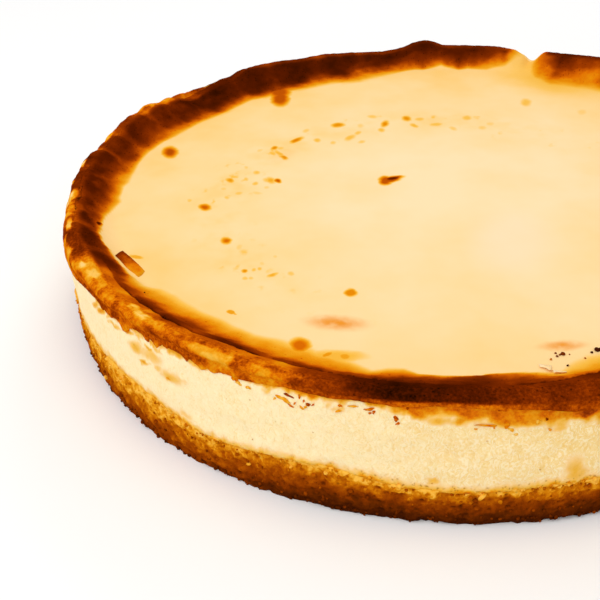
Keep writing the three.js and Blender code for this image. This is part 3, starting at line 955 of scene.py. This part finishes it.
# How far the crest and the lip stand out beyond their even circles, and how far the lip hangs down, in mm
crestOut = {-166: 0, -150: 0.8, -138: 2, -126: 2.4, -112: 2.3, -98: 1.9, -84: 1.3, -74: 0.5, -62: 0}
lipOut = {
    -180: 0.1, -176: -0.5, -173: -0.7, -170: -1.4, -166: -1.8, -162: -1, -158: -0.5, -155: 0.3, -152: 0.8,
    -147: 0.9, -143: 0.4, -138: 0, 166: 0, 169: -0.3, 172: -1, 175: -1, 178: -0.2,
}
lipDrop = {
    -160: 0, -152: -0.6, -146: -0.4, -140: 0, -100: 0, -95: 0.2, -91: 0.5, -87: 0.2, -84: -0.2, -79: -0.9,
    -74: -1.5, -66: -1.4, -54: 0, 20: 0, 40: -0.8, 60: 0, 70: -0.4, 72: -2.6, 74.4: -2.6, 76.5: -0.3, 80: 0,
}

# The split between the rim and the top: its radius, its depth, and the height of its inner shoulder
splitRadius = {
    -150: 120.5, -142: 122.4, -130: 123.5, -121: 123.9, -114: 122.4, -106: 121.6, -99.5: 120.7, -95.9: 120.7,
    -93: 121.5, -89: 122.4, -85: 122.6, -81.5: 123, -78: 122.6, -74.8: 121.2, -70.6: 119, -62: 116,
}
# its depth also sets how dark the split and the slope beside it are painted as shade
splitDepth = {
    -150: 0, -141: 0.25, -132: 0.5, -128.6: 0.8, -127.4: 1.7, -124.8: 1.6, -123: 0.4, -115.8: 0.4,
    -114.8: 1.3, -112.2: 1.2, -110.8: 0.2, -107: 0.4, -104.8: 1.2, -98: 1.4, -95.6: 1.2, -93.5: 0.4,
    -86: 0.35, -81: 0.3, -79: 0.8, -76.6: 0.7, -72: 0.6, -66: 0.3, -60: 0,
}
splitShoulder = {-146: 0, -134: 0.5, -118: 0.7, -104: 0.4, -92: 0.3, -80: 0.4, -70: 0.3, -60: 0}

# The height of a low step where the dark skin ends on the top
skinStep = {-162: 0, -156: 0.4, -139: 0.4, -135: 0, -96: 0, -92: 0.4, -78: 0.3, -70: 0}

# Patches of the rim: azimuth, mm outwards from the crest along the skin, half length round the rim,
# half breadth across it, bake
rimPatches = [
    (158.2, 3.4, 3.4, 1.5, 0.33), (151.7, 3.4, 3.8, 1.5, 0.36), (163.4, 4.2, 1.6, 1.2, 0.4),
    (169.9, 3.8, 5, 1.4, 0.28), (176.5, 4.4, 2.2, 1, 0.44), (-178.9, 4, 2.2, 1.5, 0.1),
    (-172.5, 4.4, 1.4, 0.8, 0.3), (-167.6, 3.6, 3, 1.9, 0.12), (-163.5, 3.4, 2.4, 2.2, 0.4),
    (-160.3, 3.2, 2, 1.3, 0.3), (-156.2, 1.5, 3.4, 1, 0.2), (-157.8, 4.6, 3.6, 1.1, 0.56),
    (-152.8, 4.6, 3.4, 1.4, 0.4), (-149.5, 3.4, 3.4, 1.2, 0.3), (-146.6, 4.3, 2.2, 0.6, 0.68),
    (-148.4, 0.9, 2.2, 1.4, 0.72), (-145.8, 3.6, 1.6, 1.1, 0.44), (-142.6, 3.7, 3.4, 1.1, 0.53),
    (-144.2, 1, 1.6, 0.9, 0.14), (-141.4, 0.6, 1.8, 0.9, 0.17), (-140.4, 0.2, 2.4, 1, 0.18),
    (-138.6, 0.4, 2.4, 0.9, 0.36), (-137, 2.4, 1.6, 0.9, 0.56), (-134.6, 1.6, 2, 0.8, 0.4),
    (-133, 4.2, 6, 1.5, 0.58), (-128, 0.4, 3, 0.8, 0.12), (-130.5, -0.2, 2, 0.7, 0.22),
    (-125, 1.2, 3, 1.4, 0.36), (-121.6, 4.4, 5, 1.6, 0.58), (-115.6, 3.4, 5.2, 2.2, 0.25),
    (-118, 2.2, 2.6, 1, 0.3), (-112.4, 2.2, 1.6, 2.6, 0.58), (-109.6, 1.4, 2.2, 1.2, 0.4),
    (-107.8, 0.2, 2.6, 0.9, 0.56), (-104.8, 1.2, 2, 0.9, 0.46), (-99, 3.6, 6, 1.2, 0.7),
    (-88, 1.2, 9, 1.2, 0.84), (-69, 2.6, 5, 1, 0.66), (133, -2.6, 6, 2.2, 0.9), (141, -3, 5, 2.4, 0.9),
    (154, -4.5, 5, 2.4, 0.8), (173, -2.5, 6, 2.6, 0.76), (-177, -3, 4, 2.4, 0.8), (-165, -4, 4, 2, 0.76),
    (-161.5, -1.6, 3, 1.2, 0.62), (-152, -3, 5, 2.2, 0.84), (-172, -5, 3, 1.2, 0.72),
    (157, 0.7, 2.6, 1, 0.36), (152.5, 0.8, 2.4, 0.9, 0.36), (162.6, 0.8, 1.8, 0.8, 0.46),
]

# Small swellings of the outer face: azimuth, half width in degrees, mm
rimSwells = [
    (158.2, 2.2, 0.9), (151.7, 2.6, 1), (163.4, 1.4, 0.6), (169.9, 2, 0.5), (-167.6, 1.6, 0.4),
    (-136, 2.6, 0.5), (-128, 3.2, 0.6), (-119.5, 3.4, 0.6), (-110, 3, 0.5),
]

rim = {
    "rowSpacing": 0.34,
    "slopeSpacing": 0.6,
    "faceHeight": 3.3,         # from the lip up to the crest
    "hiddenHeight": 33.8,
    "underCrest": 2.2,
    "relief": (22, 0.3, 110, 2.5),
    "foldSkew": 0.22,          # degrees that a fold turns for each mm down the inner slope
    "foldBend": 1.4,
    "patchRadius": 127,
    "patchSoftness": 0.75,
    "teethFrom": -140,         # torn skin hangs under the lip along the front left
    "teethTo": -113,
    "toothLength": 2.8,
    "skinLumps": 0.16,
    "skinWrinkles": 0.08,
    "splitHalfWidth": 0.65,
    "crust": {-165: 0.5, -150: 1, -60: 1, 60: 0.5, 75: 0.2, 165: 0.3},
}


# Rows of radius, share of the way from the lip to the crest, shares of a fold that push out and up, and zone
def rimSection():
    radius = cake["radius"]
    crest = cake["crestRadius"]
    rise = rim["faceHeight"]
    outer = [(128.6, -0.26, 0, 0), (129.8, -0.2, 0, 0), (radius, 0.1, 0, 0), (radius - 0.5, 0.55, 0.3, 0),
             (radius - 1.9, 0.86, 0.3, 0.7), (crest + 1.2, 0.98, 0.15, 0.95), (crest, 1, 0, 1)]
    scaled = [(radius, level * rise, out, up) for radius, level, out, up in outer]
    rows = [(radius, level, 0, 0, "under") for radius, level in ((0, -2), (70, -2), (118, -2), (126.5, -0.4))]
    for radius, height, out, up in smoothLine(scaled, rim["rowSpacing"])[:-1]:
        rows.append((radius, height / rise, out, up, "face"))
    radius = crest
    for end, spacing in ((118.8, rim["rowSpacing"]), (106, rim["slopeSpacing"])):
        while radius > end:
            rows.append((radius, 1, 0, 1, "slope"))
            radius -= spacing
    for radius in (104.6, 102.6, 100.2, 97.4, 94, 90, 85, 78, 69, 58, 44, 29, 14, 0):
        rows.append((radius, 1, 0, 1, "slope"))
    return rows


# 1 in the middle of the split, 0 beside it
def splitAt(azimuth, radius):
    wander = 0.3 * np.sin(np.radians(azimuth * 23)) + 0.25 * np.sin(np.radians(azimuth * 57 + 40))
    wander += 0.15 * np.sin(np.radians(azimuth * 131 + 10))
    middle = roundTheCake(azimuth, splitRadius) + wander
    return np.clip(1 - np.abs(radius - middle) / rim["splitHalfWidth"], 0, 1), middle - radius


def makeRim():
    rows = rimSection()
    section = []
    for radius, level, out, up, zone in rows:
        if zone == "slope":
            level = float(smoothStep(radius, cake["plateauRadius"], cake["crestRadius"]))
            height = blend(cake["plateauHeight"], cake["crestHeight"], level)
        elif zone == "under" and level == -2:
            height = rim["hiddenHeight"]
        else:
            height = cake["lipHeight"] + rim["faceHeight"] * level
        section.append((radius, height))
    piece = turnSection("rimAndTop", section, cake["segments"])
    places = readPlaces(piece)
    row = rowsOf(places, section)
    radius, level, foldOut, foldUp = np.array([item[:4] for item in rows], float)[row].T
    zone = np.array([item[4] for item in rows])[row]
    azimuth = azimuthOf(places)
    onFace = zone == "face"
    onSlope = zone == "slope"
    skew = rim["foldSkew"] * (radius - cake["crestRadius"]) * onSlope
    bend = rim["foldBend"] * lumpsAt(places, 7, 2, 31.0)
    fold, foldShape = foldAt(azimuth + skew + bend)
    lip = lipAt(azimuth) + roundTheCake(azimuth, lipDrop)
    crest = crestAt(azimuth)
    share = 1 - smoothStep(radius, cake["plateauRadius"], cake["crestRadius"])
    plateau = plateauAt(places[:, 0], places[:, 1])
    relief = makeRelief(*rim["relief"])
    lumps = relief(azimuth, np.where(onFace, 10 * np.clip(level, 0, 1), 20)) * onFace
    reach = np.where(onSlope, smoothStep(radius, 107, 121), smoothStep(level, 0.3, 1))
    out = roundTheCake(azimuth, crestOut) * reach + roundTheCake(azimuth, lipOut) * onFace
    newRadius = radius + out * (onFace | onSlope)
    split, inside = splitAt(azimuth, newRadius)
    split *= onSlope
    folded = blend(1, cake["slopeFold"], smoothStep(radius, cake["crestRadius"], 119)) * fold * (1 - share)
    slope = blend(crest, plateau, share) + folded - split * roundTheCake(azimuth, splitDepth)
    slope += roundTheCake(azimuth, splitShoulder) * np.interp(inside, [0, 0.8, 2, 4, 7], [0, 0.75, 1, 0.5, 0])
    pastBrown = newRadius - roundTheCake(azimuth, brownEdge)
    slope += roundTheCake(azimuth, skinStep) * smoothStep(pastBrown, -0.5, 0.7)
    face = blend(lip, crest, level) + lumps + foldUp * fold
    swell = humpSum(azimuth, rimSwells) * onFace * np.interp(level, [0.1, 0.5, 0.8, 1], [0, 1, 1, 0.3])
    hidden = np.minimum(places[:, 2], crest - rim["underCrest"])
    newHeight = np.where(onSlope, slope, np.where(onFace, face + 0.6 * swell, hidden))
    newRadius += (lumps + foldOut * fold) * onFace + 0.7 * swell
    # torn teeth along the lower edge of the lip
    ring = np.column_stack([azimuth * 2.26, 0 * azimuth, 0 * azimuth])
    teeth = 1.5 * lumpsAt(ring, 6, 2, 5.5) + 1.1 * lumpsAt(ring, 2.4, 2, 9.5)
    torn = smoothStep(azimuth, rim["teethFrom"] - 6, rim["teethFrom"]) * (
        1 - smoothStep(azimuth, rim["teethTo"] - 8, rim["teethTo"]))
    hang = np.clip(np.sign(teeth) * np.abs(teeth) ** 1.3, -0.25, 1) * blend(0.35, rim["toothLength"], torn)
    lowEdge = (1 - smoothStep(level, -0.1, 0.3)) * onFace
    newHeight -= hang * lowEdge
    places = movedPlaces(places, radius, newRadius, newHeight)
    writePlaces(piece, places)
    outwards = faceLengthAt(level) * onFace + (radius - cake["crestRadius"]) * onSlope
    bake = bakeOfRim(places, azimuth, newRadius, level, outwards, fold, foldShape, onFace, onSlope, split,
                     inside)
    skin = smoothStep(bake, 0.2, 0.55)
    bumps = rim["skinLumps"] * lumpsAt(places, 3.2, 3, 8.0)
    wrinkles = rim["skinWrinkles"] * lumpsAt(places, 1.2, 3, 60.0)
    push = (bumps + wrinkles) * skin + 0.04 * lumpsAt(places, 11, 2, 20.0)
    places += readNormals(piece) * np.where(onFace | onSlope, push, 0)[:, None]
    writePlaces(piece, places)
    writeAttribute(piece, "bake", np.clip(bake - 0.1 * np.clip(hang, 0, 2) * lowEdge, 0, 1))
    crust = roundTheCake(azimuth, rim["crust"]) * np.where(onFace, 1, smoothStep(outwards, -3, 0) * onSlope)
    writeAttribute(piece, "crust", crust)
    cover(piece, topMaterial)
    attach(piece, "root")
    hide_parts("cheese_filling")
    return piece


# How far along the skin a level of the outer face lies from the crest, in mm
def faceLengthAt(level):
    return np.interp(level, [-0.26, -0.2, 0.1, 0.55, 0.86, 0.98, 1], [8, 7, 6.1, 4.6, 2.9, 1.2, 0])


# Faint tones of the unbrowned top, by place
def paleTopBake(places, azimuth, radius):
    warm = np.interp(radius, [0, 45, 85, 108], [0.0, 0.02, 0.05, 0.08])
    warm += 0.03 * (1 - smoothStep(places[:, 0], -110, -20)) + 0.03 * smoothStep(places[:, 1], 10, 90)
    amber = np.maximum(0, 1 - np.abs(wrapped(azimuth - 64)) / 17) * smoothStep(radius, 84, 112)
    return warm + 0.16 * amber


def bakeOfRim(places, azimuth, radius, level, outwards, fold, foldShape, onFace, onSlope, split, inside):
    uneven = lumpsAt(places, 9, 3, 3.0)
    small = lumpsAt(places, 3.5, 2, 14.0)
    fine = lumpsAt(places, 1.5, 2, 51.0)
    top = roundTheCake(azimuth, crestBake)
    lip = roundTheCake(azimuth, lipBake)
    inner = roundTheCake(azimuth, slopeBake)
    inward = radius - roundTheCake(azimuth, brownEdge) + 0.4 * uneven + 0.1 * small
    inward += 0.4 * small * (1 - smoothStep(np.abs(azimuth + 151), 6, 12))
    feather = roundTheCake(azimuth, edgeFeather)
    beyond = np.maximum(inward - feather, 0) / roundTheCake(azimuth, darkening)
    share = np.minimum(inward / feather, 1) + beyond
    deepening = np.interp(share, [-0.5, 0, 0.25, 0.55, 1, 1.4, 2], [0, 0.1, 0.36, 0.55, 0.74, 0.9, 1])
    # folds are darkest on their backs, with orange creases between them
    folded = np.interp(foldShape, [0, 0.35, 0.7, 1], [-0.18, -0.06, 0.02, 0.04]) * smoothStep(fold, -0.2, 0.5)
    depth = roundTheCake(azimuth, splitDepth)
    pastSplit = smoothStep(-inside, -0.2, 0.3) * smoothStep(depth, 0.1, 0.4)
    pastEdge = np.maximum(smoothStep(outwards, -3, -0.3), pastSplit)
    # painted shade: the inner slope is darkened just inside the split, more where the split is deeper
    shadeBesideSplit = np.where(inside > 0, np.interp(inside, [0, 0.8, 3], [1, 0.5, 0]), 0)
    slope = deepening * inner + folded * smoothStep(share, 0.5, 2)
    slope = blend(slope + 0.12 * shadeBesideSplit * np.clip(depth, 0, 0.8), top + folded, pastEdge)
    slope = np.maximum(slope, paleTopBake(places, azimuth, radius))
    face = blend(lip, top, smoothStep(level, 0.12, 0.85)) + folded
    bake = np.where(onFace, face, np.where(onSlope, slope, 0.4))
    for middle, up, halfLength, halfBreadth, patchBake in rimPatches:
        across = wrapped(azimuth - middle) * math.pi / 180 * rim["patchRadius"] + 1.2 * small + 0.6 * fine
        over = outwards - up + 0.7 * uneven - 0.5 * fine
        mark = ovalShare(across, over, halfLength, halfBreadth, 0, rim["patchSoftness"])
        bake = blend(bake, patchBake, mark * (onFace | onSlope))
    amber = smoothStep(bake, 0.25, 0.4) * (1 - smoothStep(bake, 0.55, 0.75))
    grain = (0.1 * small + 0.06 * fine) * np.where(onFace, 1, 0.3)
    bake += 0.06 * uneven * smoothStep(bake, 0.2, 0.5) + amber * grain
    # painted shade: the split itself is painted nearly black, the darker the deeper it is
    gap = smoothStep(split, 0.2, 0.65) * np.interp(depth, [0, 0.4, 0.8, 1.2], [0, 0.74, 0.9, 1])
    return np.clip(np.maximum(bake, gap), 0, 1)


biscuitBase = makeBiscuitBase()
print("biscuit base")
fillingWall = makeFillingWall()
print("side of the filling")
rimAndTop = makeRim()
print("rim and top")


# Small loose pieces

def onRing(radius, angle, height):
    return radius * math.cos(angle), radius * math.sin(angle), height


# The nearest place of a piece's surface, and its normal
def surfaceOf(piece):
    bpy.context.view_layer.update()
    tree = BVHTree.FromObject(piece, bpy.context.evaluated_depsgraph_get())

    def nearest(place):
        spot, normal, index, away = tree.find_nearest(Vector(place) * mm)
        return np.array(spot) / mm, np.array(normal)
    return nearest


# One mesh of many copies of a modelled piece, each a list of points, with an attribute for each name
def joinCopies(name, model, material, copies, **values):
    faces = [tuple(face.vertices) for face in model.data.polygons]
    count = len(model.data.vertices)
    joined = [tuple(index + count * copy for index in face) for copy in range(len(copies)) for face in faces]
    mesh = bpy.data.meshes.new(name)
    mesh.from_pydata((np.vstack(copies) * mm).tolist(), [], joined)
    piece = bpy.data.objects.new(name, mesh)
    bpy.context.collection.objects.link(piece)
    bpy.data.objects.remove(model)
    cover(piece, material)
    for label, parts in values.items():
        writeAttribute(piece, label, np.concatenate([np.broadcast_to(part, count) for part in parts]))
    return piece


# A rounded block of 24 faces, the shape of one crumb
def makeCrumbModel():
    deselectAll()
    bpy.ops.mesh.primitive_cube_add(size=2 * mm)
    model = bpy.context.object
    editMode()
    bpy.ops.mesh.subdivide(number_cuts=1)
    bpy.ops.transform.tosphere(value=0.8)
    objectMode()
    return model


# A thin sheet of skin, 7 by 5 points on each side, in a square from -1 to 1, and its points
def makeScrapModel():
    deselectAll()
    bpy.ops.mesh.primitive_grid_add(x_subdivisions=6, y_subdivisions=4, size=2 * mm)
    model = bpy.context.object
    applyModifier(model, "SOLIDIFY", thickness=mm, offset=0)
    points = readPlaces(model)
    points[:, 2] /= np.abs(points[:, 2]).max()
    return model, points


crumbs = {
    "count": 1700,
    "seed": 71,
    "fromRadius": 126.8,
    "goldenFrom": 131,
    "sunk": 0.25,             # how far its middle stands out of the base, for a size of 1
    "sizes": (0.18, 0.5),
    "footShare": 0.26,        # crumbs that gather at the foot
    "footSizes": (0.16, 0.42),
    "topShare": 0.22,         # fine golden crumbs along the edge of the filling
    "topSizes": (0.14, 0.34),
    # larger golden crumbs: azimuth, height, half length, half thickness, turn
    "golden": [(-84.2, 10.9, 1.1, 0.42, 52), (-141, 6, 0.7, 0.45, 0), (-112, 8.6, 0.6, 0.35, 20),
               (20, 8, 0.9, 0.4, 30), (150, 9, 0.9, 0.4, -40)],
}


def turnedPoints(points, draws):
    turn = Euler([6.283 * next(draws) for _ in range(3)]).to_matrix()
    return points @ np.array(turn).T


# Crumbs that stand out of the base's side, half sunk in it
def makeCrumbGrains():
    draws = seededDraws(crumbs["seed"])
    model = makeCrumbModel()
    points = readPlaces(model)
    places = readPlaces(biscuitBase)
    normals = readNormals(biscuitBase)
    azimuth = azimuthOf(places)
    height = places[:, 2]
    onSide = radiusOf(places) > crumbs["fromRadius"]
    edge = baseTopAt(azimuth) - height
    side = np.flatnonzero(onSide & (height < 17))
    foot = np.flatnonzero(onSide & (height < 2.2))
    upper = np.flatnonzero(onSide & (edge > -0.3) & (edge < 1.0) & (azimuth > -150))
    copies = []
    levels = []
    tones = []
    for index in range(crumbs["count"]):
        group, (low, high) = side, crumbs["sizes"]
        kind = next(draws)
        if kind < crumbs["footShare"]:
            group, (low, high) = foot, crumbs["footSizes"]
        elif kind > 1 - crumbs["topShare"]:
            group, (low, high) = upper, crumbs["topSizes"]
        at = group[int(next(draws) * len(group))]
        size = blend(low, high, next(draws) ** 2)
        stretch = [size * (0.7 + 0.7 * next(draws)) for _ in range(3)]
        shape = turnedPoints(points * stretch, draws)
        middle = places[at] + normals[at] * size * crumbs["sunk"]
        middle[2] = max(middle[2], 0.75 * size)
        shape = shape + middle
        shape[:, 2] = np.maximum(shape[:, 2], 0.02)
        copies.append(shape)
        levels.append(min(0.34 + 0.66 * middle[2] / cake["baseHeight"], 1))
        tones.append(-0.14 + 0.3 * next(draws) ** 2)
    nearest = surfaceOf(biscuitBase)
    for azimuth, up, halfLength, halfThickness, turn in crumbs["golden"]:
        angle = math.radians(azimuth)
        spot, normal = nearest(onRing(crumbs["goldenFrom"], angle, up))
        shape = points * [halfLength, halfThickness, halfThickness]
        tilted = shape @ np.array(Matrix.Rotation(math.radians(-turn), 3, "Y")).T
        turned = tilted @ np.array(Matrix.Rotation(angle + math.pi / 2, 3, "Z")).T
        copies.append(turned + spot + normal * halfThickness * 0.5)
        levels.append(0.9)
        tones.append(0.1)
    piece = joinCopies("crumbGrains", model, biscuitMaterial, copies, level=levels, tone=tones)
    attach(piece, "root")


# Scraps of skin on the side: azimuth, height, half length, half breadth, turn, bake
wallScraps = [
    (-106.6, 34.9, 1.9, 0.8, -20, 0.5), (-105.9, 36.6, 1.2, 0.5, -13, 0.74),
    (-105.7, 33.3, 0.9, 0.4, -21, 0.62), (-104.6, 37.1, 0.8, 0.3, -88, 0.6),
    (-105.2, 34.6, 0.5, 0.3, 47, 0.6), (-104.4, 33.6, 0.7, 0.4, -31, 0.42), (-104, 34, 0.9, 0.3, 44, 0.42),
    (-103.6, 35.2, 0.7, 0.5, 21, 0.66), (-103, 35.4, 0.4, 0.3, 57, 0.66), (-104.1, 36, 0.4, 0.3, 54, 0.6),
    (-107.7, 34.4, 0.5, 0.3, 64, 0.42), (-99.9, 36.7, 0.6, 0.4, -29, 0.64), (-100.1, 34.9, 0.8, 0.4, 17, 0.5),
    (-98.5, 37.1, 1.3, 0.3, 11, 0.4), (-96.7, 37, 1.5, 0.4, 20, 0.62), (-96.6, 35.8, 0.5, 0.3, 15, 0.66),
    (-96.2, 36.3, 0.5, 0.4, 52, 0.68), (-112.8, 37, 1, 0.8, 3, 0.58), (-112.3, 36, 1, 0.6, -14, 0.42),
    (-111, 35.6, 0.8, 0.5, -17, 0.44), (-115, 37.3, 0.7, 0.4, 42, 0.5), (-116.3, 38, 0.9, 0.5, -84, 0.36),
    (-93.8, 35, 0.9, 0.6, 85, 0.66), (-93.6, 33.6, 0.6, 0.4, 24, 0.6), (-92.6, 38.5, 0.4, 0.3, 77, 0.7),
    (-83.4, 33.2, 0.4, 0.3, -75, 0.6), (-84.2, 34, 2.2, 0.4, -5, 0.56), (-82.1, 33.9, 1.1, 0.8, -74, 0.56),
    (-81.6, 32.4, 1.1, 0.5, -32, 0.44), (-85.3, 32.9, 0.5, 0.3, -3, 0.44), (-81, 30.7, 0.4, 0.4, -27, 0.4),
    (-77.9, 35.4, 0.4, 0.4, -53, 0.75), (-77.4, 31.7, 0.5, 0.4, -64, 0.45),
    (-78.8, 34.8, 0.9, 0.6, -13, 0.42), (-55, 33.5, 1.6, 0.5, 10, 0.6), (-52, 31.8, 0.8, 0.5, 40, 0.62),
    (-30, 35, 1.2, 0.5, -20, 0.5), (10, 34.8, 1.8, 0.5, 15, 0.6), (13, 33.6, 0.8, 0.4, 60, 0.64),
    (42, 33, 1.4, 0.6, -30, 0.5), (96, 35.4, 1.6, 0.5, 12, 0.56), (99, 34.2, 0.7, 0.4, 35, 0.66),
    (140, 34.6, 2, 0.5, -12, 0.5), (165, 33.8, 1.2, 0.5, 28, 0.6),
]

# Crumbs that lie on the top: x, y, radius, level, tone
topCrumbs = [
    (32.9, -101.4, 0.42, 0.5, 0), (32.1, -101.7, 0.24, 0.6, 0), (31.4, -102.4, 0.26, 0.5, 0),
    (31.1, -101.1, 0.2, 0.5, 0), (29.7, -103.9, 0.22, 0.85, 0), (40.3, -100, 0.26, 0, -0.4),
    (41.8, -98.9, 0.5, 0, -0.4), (42.6, -98.5, 0.34, 0, -0.4), (33.7, -106.3, 0.24, 0, -0.4),
    (34.6, -101.3, 0.16, 0.6, 0), (38.4, -102.6, 0.2, 0.6, 0.1), (45.5, -96, 0.3, 0.1, 0),
    (-84, -82.5, 0.16, 0.1, -0.2), (60.5, -86, 0.3, 0.2, 0), (58, -88.4, 0.22, 0.3, 0),
]


# Points of a square sheet, drawn in to an uneven oval
def raggedOval(points, draws):
    u, v, w = points.T
    phases = [6.283 * next(draws) for _ in range(3)]
    angle = np.arctan2(v, u)
    edge = 1 + 0.16 * np.sin(2 * angle + phases[0]) + 0.15 * np.sin(3 * angle + phases[1])
    edge += 0.1 * np.sin(5 * angle + phases[2])
    return u * np.sqrt(1 - v * v / 2) * edge, v * np.sqrt(1 - u * u / 2) * edge, w


scraps = {
    "seed": 37,
    "fromRadius": 130.5,
    "narrowing": 0.85,
    "gap": 0.03,              # mm between the skin and the middle of a scrap
    "halfThickness": 0.06,
    "curl": 0.1,
    "paler": 0.13,
}


def makeWallScraps():
    draws = seededDraws(scraps["seed"])
    model, points = makeScrapModel()
    nearest = surfaceOf(fillingWall)
    copies = []
    bakes = []
    for azimuth, up, halfLength, halfBreadth, turn, bake in wallScraps:
        u, v, w = raggedOval(points, draws)
        tilt = math.radians(turn)
        along = u * halfLength
        over = v * scraps["narrowing"] * halfBreadth
        arc = along * math.cos(tilt) - over * math.sin(tilt)
        height = up + along * math.sin(tilt) + over * math.cos(tilt)
        angle = math.radians(azimuth) + arc / cake["wallRadius"]
        curl = scraps["curl"] * next(draws) * np.hypot(u, v) ** 2
        shape = []
        for a, z, lift, side in zip(angle, height, curl, w):
            spot, normal = nearest(onRing(scraps["fromRadius"], a, z))
            shape.append(spot + normal * (scraps["gap"] + lift + scraps["halfThickness"] * side))
        copies.append(shape)
        uneven = 0.12 * (next(draws) - 0.5) + 0.06 * np.sin(5 * u)
        bakes.append(np.clip(bake - scraps["paler"] + uneven, 0, 1))
    piece = joinCopies("wallScraps", model, scrapMaterial, copies, bake=bakes)
    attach(piece, "root")


# Strips of skin that lie loose on the top: four corners in mm, lift of each end, bake at each end
looseSkin = [
    ([(-97.9, -56), (-98, -60.6), (-88.2, -67.6), (-88.4, -71.2)], (0.05, -0.02), (0.7, 0.3)),
    ([(26.4, -106.6), (26.8, -107.8), (29.6, -107.4), (29.4, -108.6)], (0.3, 0.5), (0, 0.05)),
    ([(29.6, -108.9), (29.8, -109.8), (32.6, -108.6), (32.4, -109.4)], (0.5, 0.2), (0, 0.1)),
]


def makeLooseSkin():
    model, points = makeScrapModel()
    nearest = surfaceOf(rimAndTop)
    copies = []
    bakes = []
    for corners, lifts, ends in looseSkin:
        a, b, c, d = (np.array(corner, float) for corner in corners)
        shape = []
        bake = []
        for u, v, w in points:
            along = (u + 1) / 2
            over = (v + 1) / 2
            ragged = 0.03 * math.sin(8 * along + 2 * over)
            flat = blend(blend(b, a, over + ragged), blend(d, c, over + ragged), along)
            spot, normal = nearest((*flat, 40.0))
            lift = blend(*lifts, along) * (0.4 + abs(v) ** 2)
            shape.append([*spot[:2], spot[2] + scraps["gap"] + lift + 0.04 * w])
            bake.append(blend(*ends, along) + 0.04 * math.sin(7 * along + 4 * over))
        copies.append(shape)
        bakes.append(np.clip(bake, 0, 1))
    piece = joinCopies("looseSkin", model, scrapMaterial, copies, bake=bakes)
    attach(piece, "root")


def makeTopCrumbs():
    draws = seededDraws(5)
    model = makeCrumbModel()
    points = readPlaces(model)
    nearest = surfaceOf(rimAndTop)
    copies = []
    for x, y, size, level, tone in topCrumbs:
        stretch = [size * (0.8 + 0.5 * next(draws)) for _ in range(3)]
        spot, normal = nearest((x, y, 38.0))
        copies.append(turnedPoints(points * stretch, draws) + spot + normal * size * 0.45)
    levels, tones = zip(*(crumb[3:] for crumb in topCrumbs))
    piece = joinCopies("topCrumbs", model, biscuitMaterial, copies, level=levels, tone=tones)
    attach(piece, "root")


makeCrumbGrains()
print("crumbs of the base")
makeWallScraps()
makeLooseSkin()
makeTopCrumbs()
print("scraps of skin and loose crumbs")
